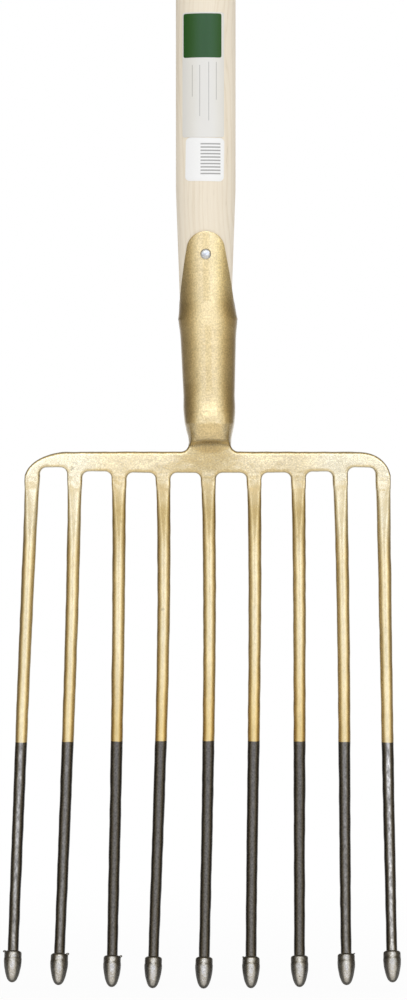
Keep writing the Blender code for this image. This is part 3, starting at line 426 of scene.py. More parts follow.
class ForkStage(bpy.types.PropertyGroup):
    """Camera and light."""
    camera_distance: length("Camera distance", "From the handle's axis to the camera", 2.8)
    camera_height: length("Camera height", "Above the middle tip", 0.3989)
    camera_pitch: FloatProperty(name="Camera pitch", description="How far the camera looks down",
                                default=math.radians(1.540), subtype="ANGLE", unit="ROTATION")
    lens: FloatProperty(name="Lens", description="Focal length in millimetres", default=150.02,
                        subtype="NONE")


# Curves and outlines

def clamped(share):
    """A share held between 0 and 1."""
    return min(max(share, 0.0), 1.0)


def smoothed(share):
    """Eases from 0 to 1."""
    share = clamped(share)
    return share * share * (3.0 - 2.0 * share)


def spread(start, end, count):
    """Evenly spaced values from start to end, both included."""
    return [start + (end - start) * step / count for step in range(count + 1)]


def through(knots, place):
    """Reads a smooth curve through (place, value) knots, without overshoot."""
    if place <= knots[0][0]:
        return knots[0][1]
    if place >= knots[-1][0]:
        return knots[-1][1]
    slopes = [(high[1] - low[1]) / (high[0] - low[0]) for low, high in zip(knots, knots[1:])]
    index = next(i for i, knot in enumerate(knots[1:]) if place <= knot[0])

    def tangent(at):
        before = slopes[max(at - 1, 0)]
        after = slopes[min(at, len(slopes) - 1)]
        return 0.0 if before * after <= 0.0 else 2.0 * before * after / (before + after)

    (start, low), (end, high) = knots[index], knots[index + 1]
    span = end - start
    t = (place - start) / span
    rise = t * t * (3.0 - 2.0 * t)
    leave = t * (1.0 - t) ** 2 * span * tangent(index)
    arrive = t * t * (t - 1.0) * span * tangent(index + 1)
    return low + (high - low) * rise + leave + arrive


def arc(centre, radius, start, end, steps=8):
    """Points round a circle in a flat outline, both ends included; angles in degrees."""
    angles = [math.radians(degrees) for degrees in spread(start, end, steps)]
    return [(centre[0] + radius * math.cos(angle), centre[1] + radius * math.sin(angle))
            for angle in angles]


# Mesh helpers

def slab(outline, start, end):
    """A flat outline of (sideways, up) points, extruded along Y."""
    bm = bmesh.new()
    face = bm.faces.new([bm.verts.new((side, start, up)) for side, up in outline])
    made = bmesh.ops.extrude_face_region(bm, geom=[face])["geom"]
    back = [item for item in made if isinstance(item, bmesh.types.BMVert)]
    bmesh.ops.translate(bm, verts=back, vec=(0.0, end - start, 0.0))
    bmesh.ops.recalc_face_normals(bm, faces=bm.faces[:])
    return bm


def round_rims(bm, offset, segments, above=0.0):
    """Rounds the edges where the flat front and back meet the sides of a slab, above a height."""
    rims = [edge for edge in bm.edges if edge.calc_face_angle(0.0) > math.radians(60.0)
            and max(vert.co.z for vert in edge.verts) > above]
    bmesh.ops.bevel(bm, geom=rims, offset=offset, segments=segments, profile=0.5, affect="EDGES",
                    material=-1)


def weld(bm, outwards=False):
    """Merges the vertices that touch, and may turn the faces outwards."""
    bmesh.ops.remove_doubles(bm, verts=bm.verts[:], dist=MERGE_DISTANCE)
    if outwards:
        bmesh.ops.recalc_face_normals(bm, faces=bm.faces[:])
    return bm


def carry(bm, matrix):
    """Moves and turns a whole mesh."""
    bmesh.ops.transform(bm, matrix=matrix, verts=bm.verts[:])


def open_edges(bm):
    """Edges with a face on one side only."""
    return [edge for edge in bm.edges if edge.is_boundary]


def close_up(bm, edges):
    """Fills the holes that the edges run round."""
    bmesh.ops.holes_fill(bm, edges=edges, sides=0)


def split_on(bm, spot, direction, drop_ahead=False):
    """Cuts edges into the mesh on a plane, and may drop what lies ahead of it."""
    everything = bm.verts[:] + bm.edges[:] + bm.faces[:]
    bmesh.ops.bisect_plane(bm, geom=everything, dist=MERGE_DISTANCE, plane_co=spot, plane_no=direction,
                           clear_outer=drop_ahead)


def slice_at(bm, places, direction):
    """Cuts edges into the mesh at places along a direction."""
    for place in places:
        split_on(bm, direction * place, direction)


def cut_away(bm, height, direction, close=True):
    """Cuts the mesh at a height, drops what lies above or below, and may close it there."""
    split_on(bm, UP * height, direction, drop_ahead=True)
    if close:
        close_up(bm, open_edges(bm))


def loft(sections, open_start=False, open_end=False):
    """A skin through closed sections, each a list of as many points."""
    bm = bmesh.new()
    corner = bm.verts.layers.int.new("corner")
    start = bmesh.ops.create_circle(bm, cap_ends=True, radius=1.0, segments=len(sections[0]))["verts"]
    for index, vert in enumerate(start):
        vert[corner] = index
        vert.co = sections[0][index]
    bm.faces.ensure_lookup_table()
    foot = bm.faces[0]
    cap = foot
    for section in sections[1:]:
        made = bmesh.ops.extrude_face_region(bm, geom=[cap])["geom"]
        if cap is not foot:
            bmesh.ops.delete(bm, geom=[cap], context="FACES_ONLY")
        cap = next(item for item in made if isinstance(item, bmesh.types.BMFace))
        for vert in cap.verts:
            vert.co = section[vert[corner]]
    unwanted = [face for face, drop in ((foot, open_start), (cap, open_end)) if drop]
    bmesh.ops.delete(bm, geom=unwanted, context="FACES_ONLY")
    return weld(bm)


def turned(profile, sides=TURNED_SIDES):
    """Spins a profile of (radius, height) points round Z."""
    bm = bmesh.new()
    corners = [bm.verts.new((radius, 0.0, height)) for radius, height in profile]
    line = [bm.edges.new(pair) for pair in zip(corners, corners[1:])]
    bmesh.ops.spin(bm, geom=corners + line, cent=(0.0, 0.0, 0.0), axis=(0.0, 0.0, 1.0),
                   angle=math.tau, steps=sides, use_merge=True)
    return weld(bm)


def mesh_of(bm, name):
    """A mesh made of a bmesh, which is freed."""
    mesh = bpy.data.meshes.new(name)
    bm.to_mesh(mesh)
    bm.free()
    return mesh


def linked(name, data):
    """A new object in the scene."""
    made = bpy.data.objects.new(name, data)
    bpy.context.scene.collection.objects.link(made)
    return made


def join(bm, other):
    """Adds another mesh to this one and frees it."""
    spare = mesh_of(other, "spare")
    bm.from_mesh(spare)
    bpy.data.meshes.remove(spare)
    return bm


def taken_back(holder, *others):
    """The mesh that a passing object's modifiers make; that object and the others are then removed."""
    bm = bmesh.new()
    bm.from_object(holder, bpy.context.evaluated_depsgraph_get())
    for passing in (holder, *others):
        mesh = passing.data
        bpy.data.objects.remove(passing, do_unlink=True)
        bpy.data.meshes.remove(mesh)
    return bm


def skinned(bm, voxel, rounds):
    """One skin round overlapping closed forms, with its creases and edges eased."""
    holder = linked("skin", mesh_of(bm, "skin"))
    skin = holder.modifiers.new("skin", "REMESH")
    skin.mode = "VOXEL"
    skin.voxel_size = voxel
    ease = holder.modifiers.new("ease", "SMOOTH")
    ease.factor = 0.5
    ease.iterations = rounds
    return taken_back(holder)


def without(bm, cutter):
    """Cuts one closed mesh out of another."""
    holder = linked("body", mesh_of(bm, "body"))
    tool = linked("tool", mesh_of(cutter, "tool"))
    cut = holder.modifiers.new("cut", "BOOLEAN")
    cut.operation = "DIFFERENCE"
    cut.solver = "EXACT"
    cut.object = tool
    return taken_back(holder, tool)


def roughen(bm, amount, start=None):
    """Swells and dips the surface, below start, by noise that runs on from piece to piece."""
    fine_height, fine_size = FINE_LUMPS
    bm.normal_update()
    for vert in bm.verts:
        if start is None or vert.co.z < start:
            broad = noise.noise(vert.co / LUMP_SIZE)
            fine = noise.noise(vert.co / (fine_size * LUMP_SIZE))
            vert.co += vert.normal * (amount * broad + fine_height * amount * fine)


def mark_front(bm, level=False):
    """Notes on each vertex how little the surface faces sideways, or with level, nor up or down; the
    materials paint shade and highlight by this.
    """
    weld(bm, outwards=True)
    bm.normal_update()
    mark = bm.verts.layers.float.new(FRONT_MARK)
    for vert in bm.verts:
        vert[mark] = abs(vert.normal.y) if level else math.sqrt(max(1.0 - vert.normal.x ** 2, 0.0))


def bridge(bm):
    """Joins the mesh's two open rims."""
    first, second = open_rims(bm)
    bmesh.ops.bridge_loops(bm, edges=first + second)


def piece_from(bm, name, surface, stands_for, smooth_angle=40.0):
    """Turns a mesh into a finished piece in the frame that stands for CAD nodes."""
    weld(bm, outwards=True)
    if bm.calc_volume(signed=True) < 0.0:
        bmesh.ops.reverse_faces(bm, faces=bm.faces[:])
    carry(bm, Matrix.Translation(AXIS))
    mesh = mesh_of(bm, name)
    mesh.shade_smooth()
    mesh.set_sharp_from_angle(angle=math.radians(smooth_angle))
    mesh.materials.append(surface)
    piece = linked(name, mesh)
    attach(piece, "root")
    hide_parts(*stands_for)
    return piece


# Material helpers

def plug(tree, socket, value):
    """Joins a socket to another node's output, or sets it; a colour is given its alpha."""
    if isinstance(value, bpy.types.NodeSocket):
        tree.links.new(value, socket)
    elif socket.type == "RGBA":
        socket.default_value = (*value, 1.0)
    else:
        socket.default_value = value


def add(tree, kind, inputs=None, **settings):
    """A node with its settings, and its inputs set to values or joined to other nodes' outputs."""
    made = tree.nodes.new(kind)
    for key, value in settings.items():
        setattr(made, key, value)
    for key, value in (inputs or {}).items():
        plug(tree, made.inputs[key], value)
    return made


def mixed(tree, share, low, high):
    """A colour between two colours."""
    return add(tree, "ShaderNodeMix", {0: share, 6: low, 7: high}, data_type="RGBA").outputs[2]


def ranged(tree, value, low, high, to_low=0.0, to_high=1.0):
    """Stretches the part of a value between low and high, and clamps the rest."""
    made = add(tree, "ShaderNodeMapRange", {"Value": value, "From Min": low, "From Max": high,
                                            "To Min": to_low, "To Max": to_high})
    return made.outputs["Result"]


def faded(tree, value, reach, low, high):
    """A colour that changes into another while a value passes through its reach."""
    return mixed(tree, ranged(tree, value, *reach), low, high)


def between(tree, share, low, high):
    """A value between two values."""
    return ranged(tree, share, 0.0, 1.0, low, high)


def combined(tree, operation, first, second=0.0):
    """A value worked out from two values, or from one."""
    return add(tree, "ShaderNodeMath", {0: first, 1: second}, operation=operation).outputs[0]


def product(tree, first, *factors):
    """Values multiplied by each other."""
    for factor in factors:
        first = combined(tree, "MULTIPLY", first, factor)
    return first


def scaled(tree, vector, shares):
    """A colour or a place multiplied part by part."""
    return add(tree, "ShaderNodeVectorMath", {0: vector, 1: shares}, operation="MULTIPLY").outputs[0]


def apart(tree, place, spot):
    """Distance of a place from a spot."""
    return add(tree, "ShaderNodeVectorMath", {0: place, 1: spot}, operation="DISTANCE").outputs["Value"]


def axes_of(tree, place):
    """X, Y and Z of a place."""
    return add(tree, "ShaderNodeSeparateXYZ", {"Vector": place}).outputs


def off_axis(tree, axes):
    """Sideways distance from the handle's axis."""
    return combined(tree, "ABSOLUTE", combined(tree, "SUBTRACT", axes["X"], AXIS.x))


def mapped(tree, place, **changes):
    """A place that is stretched or turned."""
    return add(tree, "ShaderNodeMapping", {"Vector": place, **changes}).outputs[0]


def squareness(tree):
    """How squarely the surface faces front or back, as noted on the mesh."""
    return add(tree, "ShaderNodeAttribute", attribute_name=FRONT_MARK).outputs["Fac"]


def spotted(tree, vector, scale, detail=2.0, roughness=0.5):
    """A noise value at a scale per metre."""
    made = add(tree, "ShaderNodeTexNoise", {"Vector": vector, "Scale": scale, "Detail": detail,
                                            "Roughness": roughness})
    return made.outputs["Fac"]


def tint(base, share):
    """A colour made lighter or darker."""
    return tuple(min(channel * share, 1.0) for channel in base)


def tint_of(tree, colour, share):
    """A socket's colour made lighter or darker."""
    return add(tree, "ShaderNodeVectorMath", {0: colour, "Scale": share}, operation="SCALE").outputs[0]


def toned(tree, share, base, tones):
    """A colour between two tones of itself."""
    low, high = tones
    return mixed(tree, share, tint(base, low), tint(base, high))


def bump(tree, height, strength, distance):
    """A normal from a height."""
    made = add(tree, "ShaderNodeBump", {"Height": height, "Strength": strength, "Distance": distance})
    return made.outputs["Normal"]


def new_material(name):
    """A material with its tree, its shader and the place of each point."""
    made = bpy.data.materials.new(name)
    made.use_nodes = True
    tree = made.node_tree
    place = add(tree, "ShaderNodeTexCoord").outputs["Object"]
    return made, tree, tree.nodes["Principled BSDF"], place


def wire(tree, sockets, **values):
    """Sets sockets, or joins them; underscores stand for spaces."""
    for label, value in values.items():
        plug(tree, sockets[label.replace("_", " ")], value)


# Shared effects

def group_of(name, scales, outputs):
    """A node group with a vector and scales coming in, and values going out: its tree and both ends."""
    tree = bpy.data.node_groups.new(name, "ShaderNodeTree")
    tree.interface.new_socket("Vector", in_out="INPUT", socket_type="NodeSocketVector")
    for label, value in scales.items():
        socket = tree.interface.new_socket(label, in_out="INPUT", socket_type="NodeSocketFloat")
        socket.default_value = value
    for label in outputs:
        tree.interface.new_socket(label, in_out="OUTPUT", socket_type="NodeSocketFloat")
    return tree, tree.nodes.new("NodeGroupInput").outputs, tree.nodes.new("NodeGroupOutput").inputs


def forged_group():
    """The skin of forged steel under paint or lacquer: flakes, patches, pits and a height."""
    scales = dict(zip(SCALE_NAMES, FORGED_SCALES))
    tree, incoming, outgoing = group_of("Forged skin", scales, ("Flakes", "Patches", "Pits", "Height"))
    place = incoming["Vector"]
    flake = spotted(tree, place, incoming["Flake Scale"], 3.0, 0.7)
    patch = spotted(tree, place, incoming["Patch Scale"], 3.0, 0.55)
    pit = spotted(tree, place, incoming["Pit Scale"], 1.0, 0.4)
    pits = ranged(tree, pit, 0.74, 0.80)
    lumps = combined(tree, "ADD", product(tree, patch, 3.0), product(tree, flake, 0.45))
    wire(tree, outgoing, Flakes=ranged(tree, flake, 0.38, 0.66), Patches=ranged(tree, patch, 0.3, 0.7),
         Pits=pits, Height=combined(tree, "SUBTRACT", lumps, pits))
    return tree


def grain_group():
    """Ash grain along Z: late-wood lines, fibres, open pores and a height."""
    tree, incoming, outgoing = group_of("Ash grain", {}, ("Late", "Fibre", "Pores", "Height"))
    place = incoming["Vector"]
    bend = add(tree, "ShaderNodeTexNoise", {"Vector": place, "Scale": 5.5, "Detail": 2.0})
    swayed = scaled(tree, bend.outputs["Color"], (0.030, 0.030, 0.0))
    moved = add(tree, "ShaderNodeVectorMath", {0: place, 1: swayed}, operation="ADD")
    long = mapped(tree, moved.outputs[0], Scale=(1.0, 0.72, 0.030))
    rings = add(tree, "ShaderNodeTexWave", {"Vector": long, "Scale": 95.0, "Distortion": 7.0,
                                            "Detail": 3.0, "Detail Scale": 2.2},
                wave_type="BANDS", bands_direction="X")
    fibre = spotted(tree, mapped(tree, place, Scale=(1.0, 1.0, 0.018)), 1500.0, 3.0, 0.6)
    pore = spotted(tree, mapped(tree, place, Scale=(1.0, 1.0, 0.07)), 1900.0, 1.0, 0.4)
    faint = ranged(tree, spotted(tree, long, 70.0), 0.35, 0.65, 0.25, 1.0)
    late = product(tree, ranged(tree, rings.outputs["Fac"], 0.45, 1.0), faint)
    pores = product(tree, ranged(tree, pore, 0.62, 0.72), late)
    wire(tree, outgoing, Late=late, Fibre=ranged(tree, fibre, 0.25, 0.75), Pores=pores,
         Height=combined(tree, "SUBTRACT", fibre, pores))
    return tree


def shared(tree, name, maker, inputs):
    """A node group placed in a material; the group itself is made once."""
    group = bpy.data.node_groups.get(name) or maker()
    return add(tree, "ShaderNodeGroup", inputs, node_tree=group).outputs


def forged(tree, place, scales=FORGED_SCALES):
    """The forged skin placed in a material."""
    inputs = {"Vector": place, **dict(zip(SCALE_NAMES, scales))}
    return shared(tree, "Forged skin", forged_group, inputs)


# Materials

def root_shade_and_highlight(tree, axes):
    """Share of the enamel's colour near the roots: a painted highlight on the outer tines, painted shade
    below the inner ones.
    """
    deep = faded(tree, axes["Z"], ROOT_SHADE_REACH, WHITE, ROOT_SHADE)
    tone = faded(tree, off_axis(tree, axes), PALE_HIGHLIGHT_REACH, deep, PALE_HIGHLIGHT)
    return faded(tree, axes["Z"], ROOT_SHADE_AND_HIGHLIGHT_REACH, WHITE, tone)


def neck_shade(tree, place, bar):
    """The tone of the crossbar, with painted shade at the neck's foot and in the pocket under its lip."""
    foot_shade = faded(tree, apart(tree, place, NECK_FOOT_SHADE_SPOT), NECK_FOOT_SHADE_REACH, NECK_FOOT_SHADE, bar)
    away = apart(tree, mapped(tree, place, Scale=(1.0, 0.0, POCKET_SQUASH)), POCKET_SHADE_SPOT)
    return scaled(tree, foot_shade, faded(tree, away, POCKET_SHADE_REACH, POCKET_SHADE, WHITE))


def enamel_colour(tree, skin, flakes, facing, gold, speckle):
    """Gold enamel: patchy, speckled with flakes, darker in its pits, and with painted shade towards its
    edges.
    """
    patchy = toned(tree, skin["Patches"], gold, GOLD_PATCHES)
    flaked = mixed(tree, flakes, tint_of(tree, patchy, 1.0 - speckle), tint_of(tree, patchy, 1.0 + speckle))
    # painted shade where the surface turns sideways
    edge_shaded = scaled(tree, flaked, faded(tree, facing, EDGE_SHADE_REACH, EDGE_SHADE, WHITE))
    return mixed(tree, skin["Pits"], edge_shaded, tint(gold, GOLD_PITS))


def gold_enamel(finish):
    """Satin gold enamel over forged steel, with painted shade and painted highlight in its colour."""
    made, tree, shader, place = new_material("gold_enamel")
    skin = forged(tree, place)
    axes = axes_of(tree, place)
    height = axes["Z"]
    facing = combined(tree, "MAXIMUM", squareness(tree), ranged(tree, height, *TONGUE_FACING))
    bar = faded(tree, height, BAR_REACH, WHITE, BAR_PAINT)
    tone = neck_shade(tree, place, scaled(tree, bar, root_shade_and_highlight(tree, axes)))
    tone = faded(tree, height, SOCKET_REACH, tone, SOCKET_WARMTH)
    # painted highlight: the tongue's right side made lighter
    right = product(tree, ranged(tree, height, *TONGUE_HIGHLIGHT_REACH), ranged(tree, axes["X"], *TONGUE_HIGHLIGHT_SIDE))
    tone = mixed(tree, right, tone, TONGUE_HIGHLIGHT)
    enamel = enamel_colour(tree, skin, skin["Flakes"], facing, finish.gold, HEAD_SPECKLE)
    sandy = ranged(tree, height, CROSSBAR_TOP, SOCKET_EDGE, 0.0, 0.11)
    polish = between(tree, skin["Flakes"], 0.28, 0.20)
    wire(tree, shader.inputs, Base_Color=scaled(tree, enamel, tone), Metallic=0.97,
         Roughness=combined(tree, "ADD", polish, sandy), Coat_Weight=1.0, Coat_Roughness=0.12,
         Normal=bump(tree, skin["Height"], 0.42, 0.0009))
    return made


def lacquer_colour(tree, skin, long, axes, facing, finish):
    """Dark lacquer over steel: painted shade at its sides, painted highlight streaks down the tines where
    they face front, and bare steel rubbed through on the outer ones, kept to their front faces as a painted
    highlight.
    """
    streaks = ranged(tree, spotted(tree, long, 1300.0, 3.0, 0.7), 0.40, 0.60)
    scuffs = ranged(tree, spotted(tree, long, 420.0, 3.0, 0.6), 0.38, 0.60, 0.35, 1.0)
    steel = toned(tree, skin["Flakes"], finish.lacquer, LACQUER_FLAKES)
    shaded = tint_of(tree, steel, ranged(tree, facing, *LACQUER_SHADE_AND_HIGHLIGHT))
    shine = product(tree, streaks, ranged(tree, facing, *LACQUER_STREAK_HIGHLIGHT_SIDES))
    streak_highlighted = mixed(tree, shine, shaded, tint(finish.lacquer, LACQUER_STREAK_HIGHLIGHT))
    outer = product(tree, ranged(tree, off_axis(tree, axes), *WEAR_HIGHLIGHT_SIDES),
                    ranged(tree, axes["X"], *WEAR_HIGHLIGHT_RIGHT), scuffs)
    rub_and_highlight = product(tree, ranged(tree, facing, *WEAR_HIGHLIGHT_FACING), outer, between(tree, streaks, 0.45, 1.0),
                  between(tree, skin["Patches"], 0.55, 1.0))
    return mixed(tree, rub_and_highlight, streak_highlighted, tint(finish.knob, WORN_STEEL_HIGHLIGHT))


def dipped_enamel(finish, dip_height):
    """Gold enamel above a level line, and dark lacquer over steel below it."""
    made, tree, shader, place = new_material("dipped_enamel")
    skin = forged(tree, place)
    axes = axes_of(tree, place)
    facing = squareness(tree)
    long = mapped(tree, place, Scale=(1.0, 1.0, 0.30))
    ragged = product(tree, spotted(tree, place, 260.0), DIP_RAGGEDNESS)
    level = combined(tree, "ADD", axes["Z"], ragged)
    dark = ranged(tree, level, *(dip_height + reach for reach in DIP_EDGE))
    # painted shade on the inner tines just above the dip line
    low = product(tree, ranged(tree, axes["Z"], *(dip_height + reach for reach in LOW_SHADE_REACH)),
                  ranged(tree, off_axis(tree, axes), *LOW_SHADE_SIDES))
    tone = scaled(tree, mixed(tree, low, WHITE, LOW_SHADE), root_shade_and_highlight(tree, axes))
    flakes = ranged(tree, spotted(tree, long, 900.0, 3.0, 0.7), 0.34, 0.70)
    enamel = scaled(tree, enamel_colour(tree, skin, flakes, facing, finish.gold, TINE_SPECKLE), tone)
    base = mixed(tree, dark, enamel, lacquer_colour(tree, skin, long, axes, facing, finish))
    wire(tree, shader.inputs, Base_Color=base, Metallic=0.97, Roughness=between(tree, dark, 0.21, 0.30),
         Coat_Weight=0.4, Coat_Roughness=0.14, Normal=bump(tree, skin["Height"], 0.14, 0.0009))
    return made


def cast_steel(finish):
    """Satin cast steel with a fine sandy skin, painted shade at its sides and a painted highlight down its
    middle.
    """
    made, tree, shader, place = new_material("cast_steel")
    skin = forged(tree, place, CAST_SCALES)
    base = toned(tree, skin["Flakes"], finish.knob, KNOB_FLAKES)
    shaded = tint_of(tree, base, ranged(tree, squareness(tree), *KNOB_SHADE_AND_HIGHLIGHT))
    wire(tree, shader.inputs, Base_Color=mixed(tree, skin["Pits"], shaded, tint(finish.knob, KNOB_PITS)),
         Metallic=0.85, Roughness=between(tree, skin["Patches"], 0.32, 0.24),
         Normal=bump(tree, skin["Height"], 0.70, 0.0004))
    return made


def bright_zinc(finish):
    """Bright zinc with faint hammer marks."""
    made, tree, shader, place = new_material("bright_zinc")
    skin = forged(tree, place, ZINC_SCALES)
    wire(tree, shader.inputs, Base_Color=toned(tree, skin["Patches"], finish.zinc, ZINC_PATCHES),
         Metallic=1.0, Roughness=between(tree, skin["Flakes"], 0.34, 0.22),
         Normal=bump(tree, skin["Height"], 0.45, 0.0003))
    return made


def ash_wood(finish, name, turn=(0.0, 0.0, 0.0)):
    """Sanded pale ash; the turn brings the piece's grain to Z."""
    made, tree, shader, place = new_material(name)
    laid = mapped(tree, place, Rotation=turn)
    grain = shared(tree, "Ash grain", grain_group, {"Vector": laid})
    colour = toned(tree, ranged(tree, spotted(tree, laid, 9.0), 0.35, 0.65), finish.ash, ASH_CLOUDS)
    for effect, share, tone in ASH_EFFECTS:
        colour = mixed(tree, product(tree, grain[effect], share), colour, tint(finish.ash_late, tone))
    wire(tree, shader.inputs, Base_Color=colour, Roughness=between(tree, grain["Fibre"], 0.58, 0.48),
         Normal=bump(tree, grain["Height"], 0.12, 0.0003))
    return made


def boxed(tree, axes, sides, ends):
    """1 inside a rectangle of the handle's front, 0 outside; its sides count from the handle's axis."""
    tests = []
    for axis, shift, (start, end) in (("X", AXIS.x, sides), ("Z", 0.0, ends)):
        tests.append(combined(tree, "GREATER_THAN", axes[axis], shift + start))
        tests.append(combined(tree, "LESS_THAN", axes[axis], shift + end))
    return product(tree, *tests)


def label_film(finish):
    """Thin glossy film with four plain hairlines."""
    made, tree, shader, place = new_material("label_film")
    axes = axes_of(tree, place)
    lines = 0.0
    for across, foot, top in HAIRLINES:
        sides = (across - HAIRLINE_WIDTH / 2, across + HAIRLINE_WIDTH / 2)
        one = boxed(tree, axes, sides, (LABEL_FOOT + foot, LABEL_FOOT + top))
        lines = combined(tree, "MAXIMUM", lines, one)
    base = toned(tree, spotted(tree, place, 60.0), finish.film, FILM_CLOUDS)
    inked = mixed(tree, product(tree, lines, HAIRLINE_INK), base, finish.ink)
    wire(tree, shader.inputs, Base_Color=inked, Roughness=0.24, Coat_Weight=0.4, Coat_Roughness=0.12,
         Normal=bump(tree, spotted(tree, place, 140.0), 0.10, 0.0002))
    return made


def label_panel(finish):
    """Glossy printed panel, plain, with the faint unevenness of film over wood."""
    made, tree, shader, place = new_material("label_panel")
    streaks = spotted(tree, mapped(tree, place, Scale=(1.0, 1.0, 0.12)), 260.0, 3.0, 0.6)
    wire(tree, shader.inputs, Base_Color=toned(tree, streaks, finish.panel, PANEL_STREAKS), Roughness=0.22,
         Specular_IOR_Level=0.35, Normal=bump(tree, streaks, 0.30, 0.0004))
    return made


def sticker_paper(finish):
    """White paper with a block of evenly spaced grey rules."""
    made, tree, shader, place = new_material("sticker_paper")
    axes = axes_of(tree, place)
    beat = combined(tree, "FRACT", combined(tree, "DIVIDE", axes["Z"], RULE_PITCH))
    rules = combined(tree, "LESS_THAN", beat, RULE_SHARE)
    ends = [STICKER_SHEET[2] + end for end in RULES_ENDS]
    ink = product(tree, rules, boxed(tree, axes, RULES_SIDES, ends), RULE_INK)
    fibres = spotted(tree, place, 900.0, 3.0)
    base = toned(tree, fibres, finish.paper, PAPER_FIBRES)
    wire(tree, shader.inputs, Base_Color=mixed(tree, ink, base, finish.ink), Roughness=0.55,
         Normal=bump(tree, fibres, 0.08, 0.0001))
    return made


# Where things lie

def root_x(index):
    """Sideways place of a tine at the crossbar."""
    return ROOT_SHIFT + (index - MIDDLE) * ROOT_PITCH + ROOT_SWAY[index]


def dished(x):
    """Depth of the middle of the crossbar, and of a tine's root, at this width."""
    return CROSSBAR_SETBACK - CROSSBAR_DISH * ((x - ROOT_SHIFT) / (MIDDLE * ROOT_PITCH)) ** 2


def turn_in(x):
    """Slope that the dish gives to the crossbar's face, and to a tine's flat, at this width."""
    half_span = MIDDLE * ROOT_PITCH
    return -2.0 * CROSSBAR_DISH * (x - ROOT_SHIFT) / half_span ** 2


def tip_height(index):
    """Height of a tine's tip."""
    return TIP_RISE * ((index - MIDDLE) / MIDDLE) ** 2


def tine_point(index, drop):
    """A point on a tine's middle line, a drop below where it joins the root."""
    share = drop / (ROOT_CUT - tip_height(index))
    rest = 1.0 - share
    tip_x = TIP_SHIFT + (index - MIDDLE) * TIP_PITCH + TIP_SWAY[index]
    x = root_x(index) * rest + tip_x * share
    x += (HALFWAY_PEAK * TINE_BOW[index] * share * rest
          + UPPER_PEAK * UPPER_BOW[index] * share * rest ** 2)
    y = dished(root_x(index)) + BACK_SLOPE * drop - drop ** 2 / (2.0 * CURVE_RADIUS)
    return Vector((x, y, ROOT_CUT - drop))


def shaft_radius(height):
    """Radius of the handle, which tapers at its foot."""
    share = clamped((height - SHAFT_FOOT) / SHAFT_TAPER_LENGTH)
    return SHAFT_END_RADIUS + (SHAFT_RADIUS - SHAFT_END_RADIUS) * share


def lean(height):
    """How far the socket and the handle's foot stand to the right at a height."""
    return SOCKET_LEAN * clamped((LEAN_TOP - height) / (LEAN_TOP - CROSSBAR_TOP))


def down_neck(height):
    """Eases from 0 at the socket's edge to 1 at the crossbar's top."""
    return smoothed((SOCKET_EDGE - height) / (SOCKET_EDGE - CROSSBAR_TOP))


# Head

def head_point(height, angle):
    """A point on the neck or the socket, its angle measured from the front towards the right."""
    above = height - CROSSBAR_TOP
    if height < SOCKET_EDGE:
        half_width = through(NECK_WIDTHS, above)
        arch = LIP_ARCH * math.sin(angle) ** 2 * down_neck(height)
        front = through(NECK_FRONTS, above + arch)
        back = through(NECK_BACKS, above)
    else:
        plain = shaft_radius(height) + TOUCH_GAP + SOCKET_WALL - through(THINNING, height - SOCKET_EDGE)
        half_width = plain + through(SWELLINGS, height - SOCKET_EDGE)
        front = plain + through(FRONT_BULGE, above)
        back = min(front, half_width)
    power = 2.0 / through(NECK_SQUARENESS, above)
    across = math.copysign(abs(math.sin(angle)) ** power, math.sin(angle))
    deep = -math.copysign(abs(math.cos(angle)) ** power, math.cos(angle))
    depth = front if deep < 0.0 else back
    middle = lean(height) + through(PLATE_SHIFTS, above)
    return Vector((middle + half_width * across, depth * deep, height))


def bore_point(height, angle):
    """A point on the socket's bore, its angle measured from the front towards the right."""
    radius = shaft_radius(height) + TOUCH_GAP / 2
    return Vector((lean(height) + radius * math.sin(angle), -radius * math.cos(angle), height))


def crossbar_outline():
    """Front outline of the crossbar and of the tines as far as they share the head's skin."""
    half = ROOT_WIDTH / 2
    underside = CROSSBAR_TOP - CROSSBAR_HEIGHT
    outermost_gap = TINE_COUNT / 2 - 1
    points = []
    for index in range(TINE_COUNT):
        middle = root_x(index)
        points += [(middle - half, ROOT_CUT), (middle + half, ROOT_CUT)]
        if index < TINE_COUNT - 1:
            off_centre = abs(index + 1 - TINE_COUNT / 2)
            top = underside + OUTER_GAP_RISE * (off_centre / outermost_gap) ** GAP_RISE_POWER
            next_side = root_x(index + 1) - half
            points += arc((middle + half + GAP_FILLET, top - GAP_FILLET), GAP_FILLET, 180.0, 90.0)
            points += arc((next_side - GAP_FILLET, top - GAP_FILLET), GAP_FILLET, 90.0, 0.0)
    neck = lean(CROSSBAR_TOP)
    half_neck = through(NECK_WIDTHS, NECK_FILLET_AT)
    reach = half_neck + NECK_FILLET
    fillet_height = CROSSBAR_TOP + NECK_FILLET
    corner_foot = CROSSBAR_TOP - CORNER_HEIGHT
    right_side = root_x(TINE_COUNT - 1) + half
    left_side = root_x(0) - half
    for across, up in arc((0.0, 0.0), 1.0, 0.0, 90.0, CORNER_STEPS):
        points.append((right_side + RIGHT_CORNER_WIDTH * (across - 1.0), corner_foot + CORNER_HEIGHT * up))
    points += arc((neck + reach, fillet_height), NECK_FILLET, 270.0, 180.0)
    stub_top = fillet_height + NECK_STUB
    points += [(neck + half_neck, stub_top), (neck - half_neck, stub_top)]
    points += arc((neck - reach, fillet_height), NECK_FILLET, 0.0, -90.0)
    for across, up in arc((0.0, 0.0), 1.0, 90.0, 180.0, CORNER_STEPS):
        points.append((left_side + LEFT_CORNER_WIDTH * (across + 1.0), corner_foot + CORNER_HEIGHT * up))
    return points


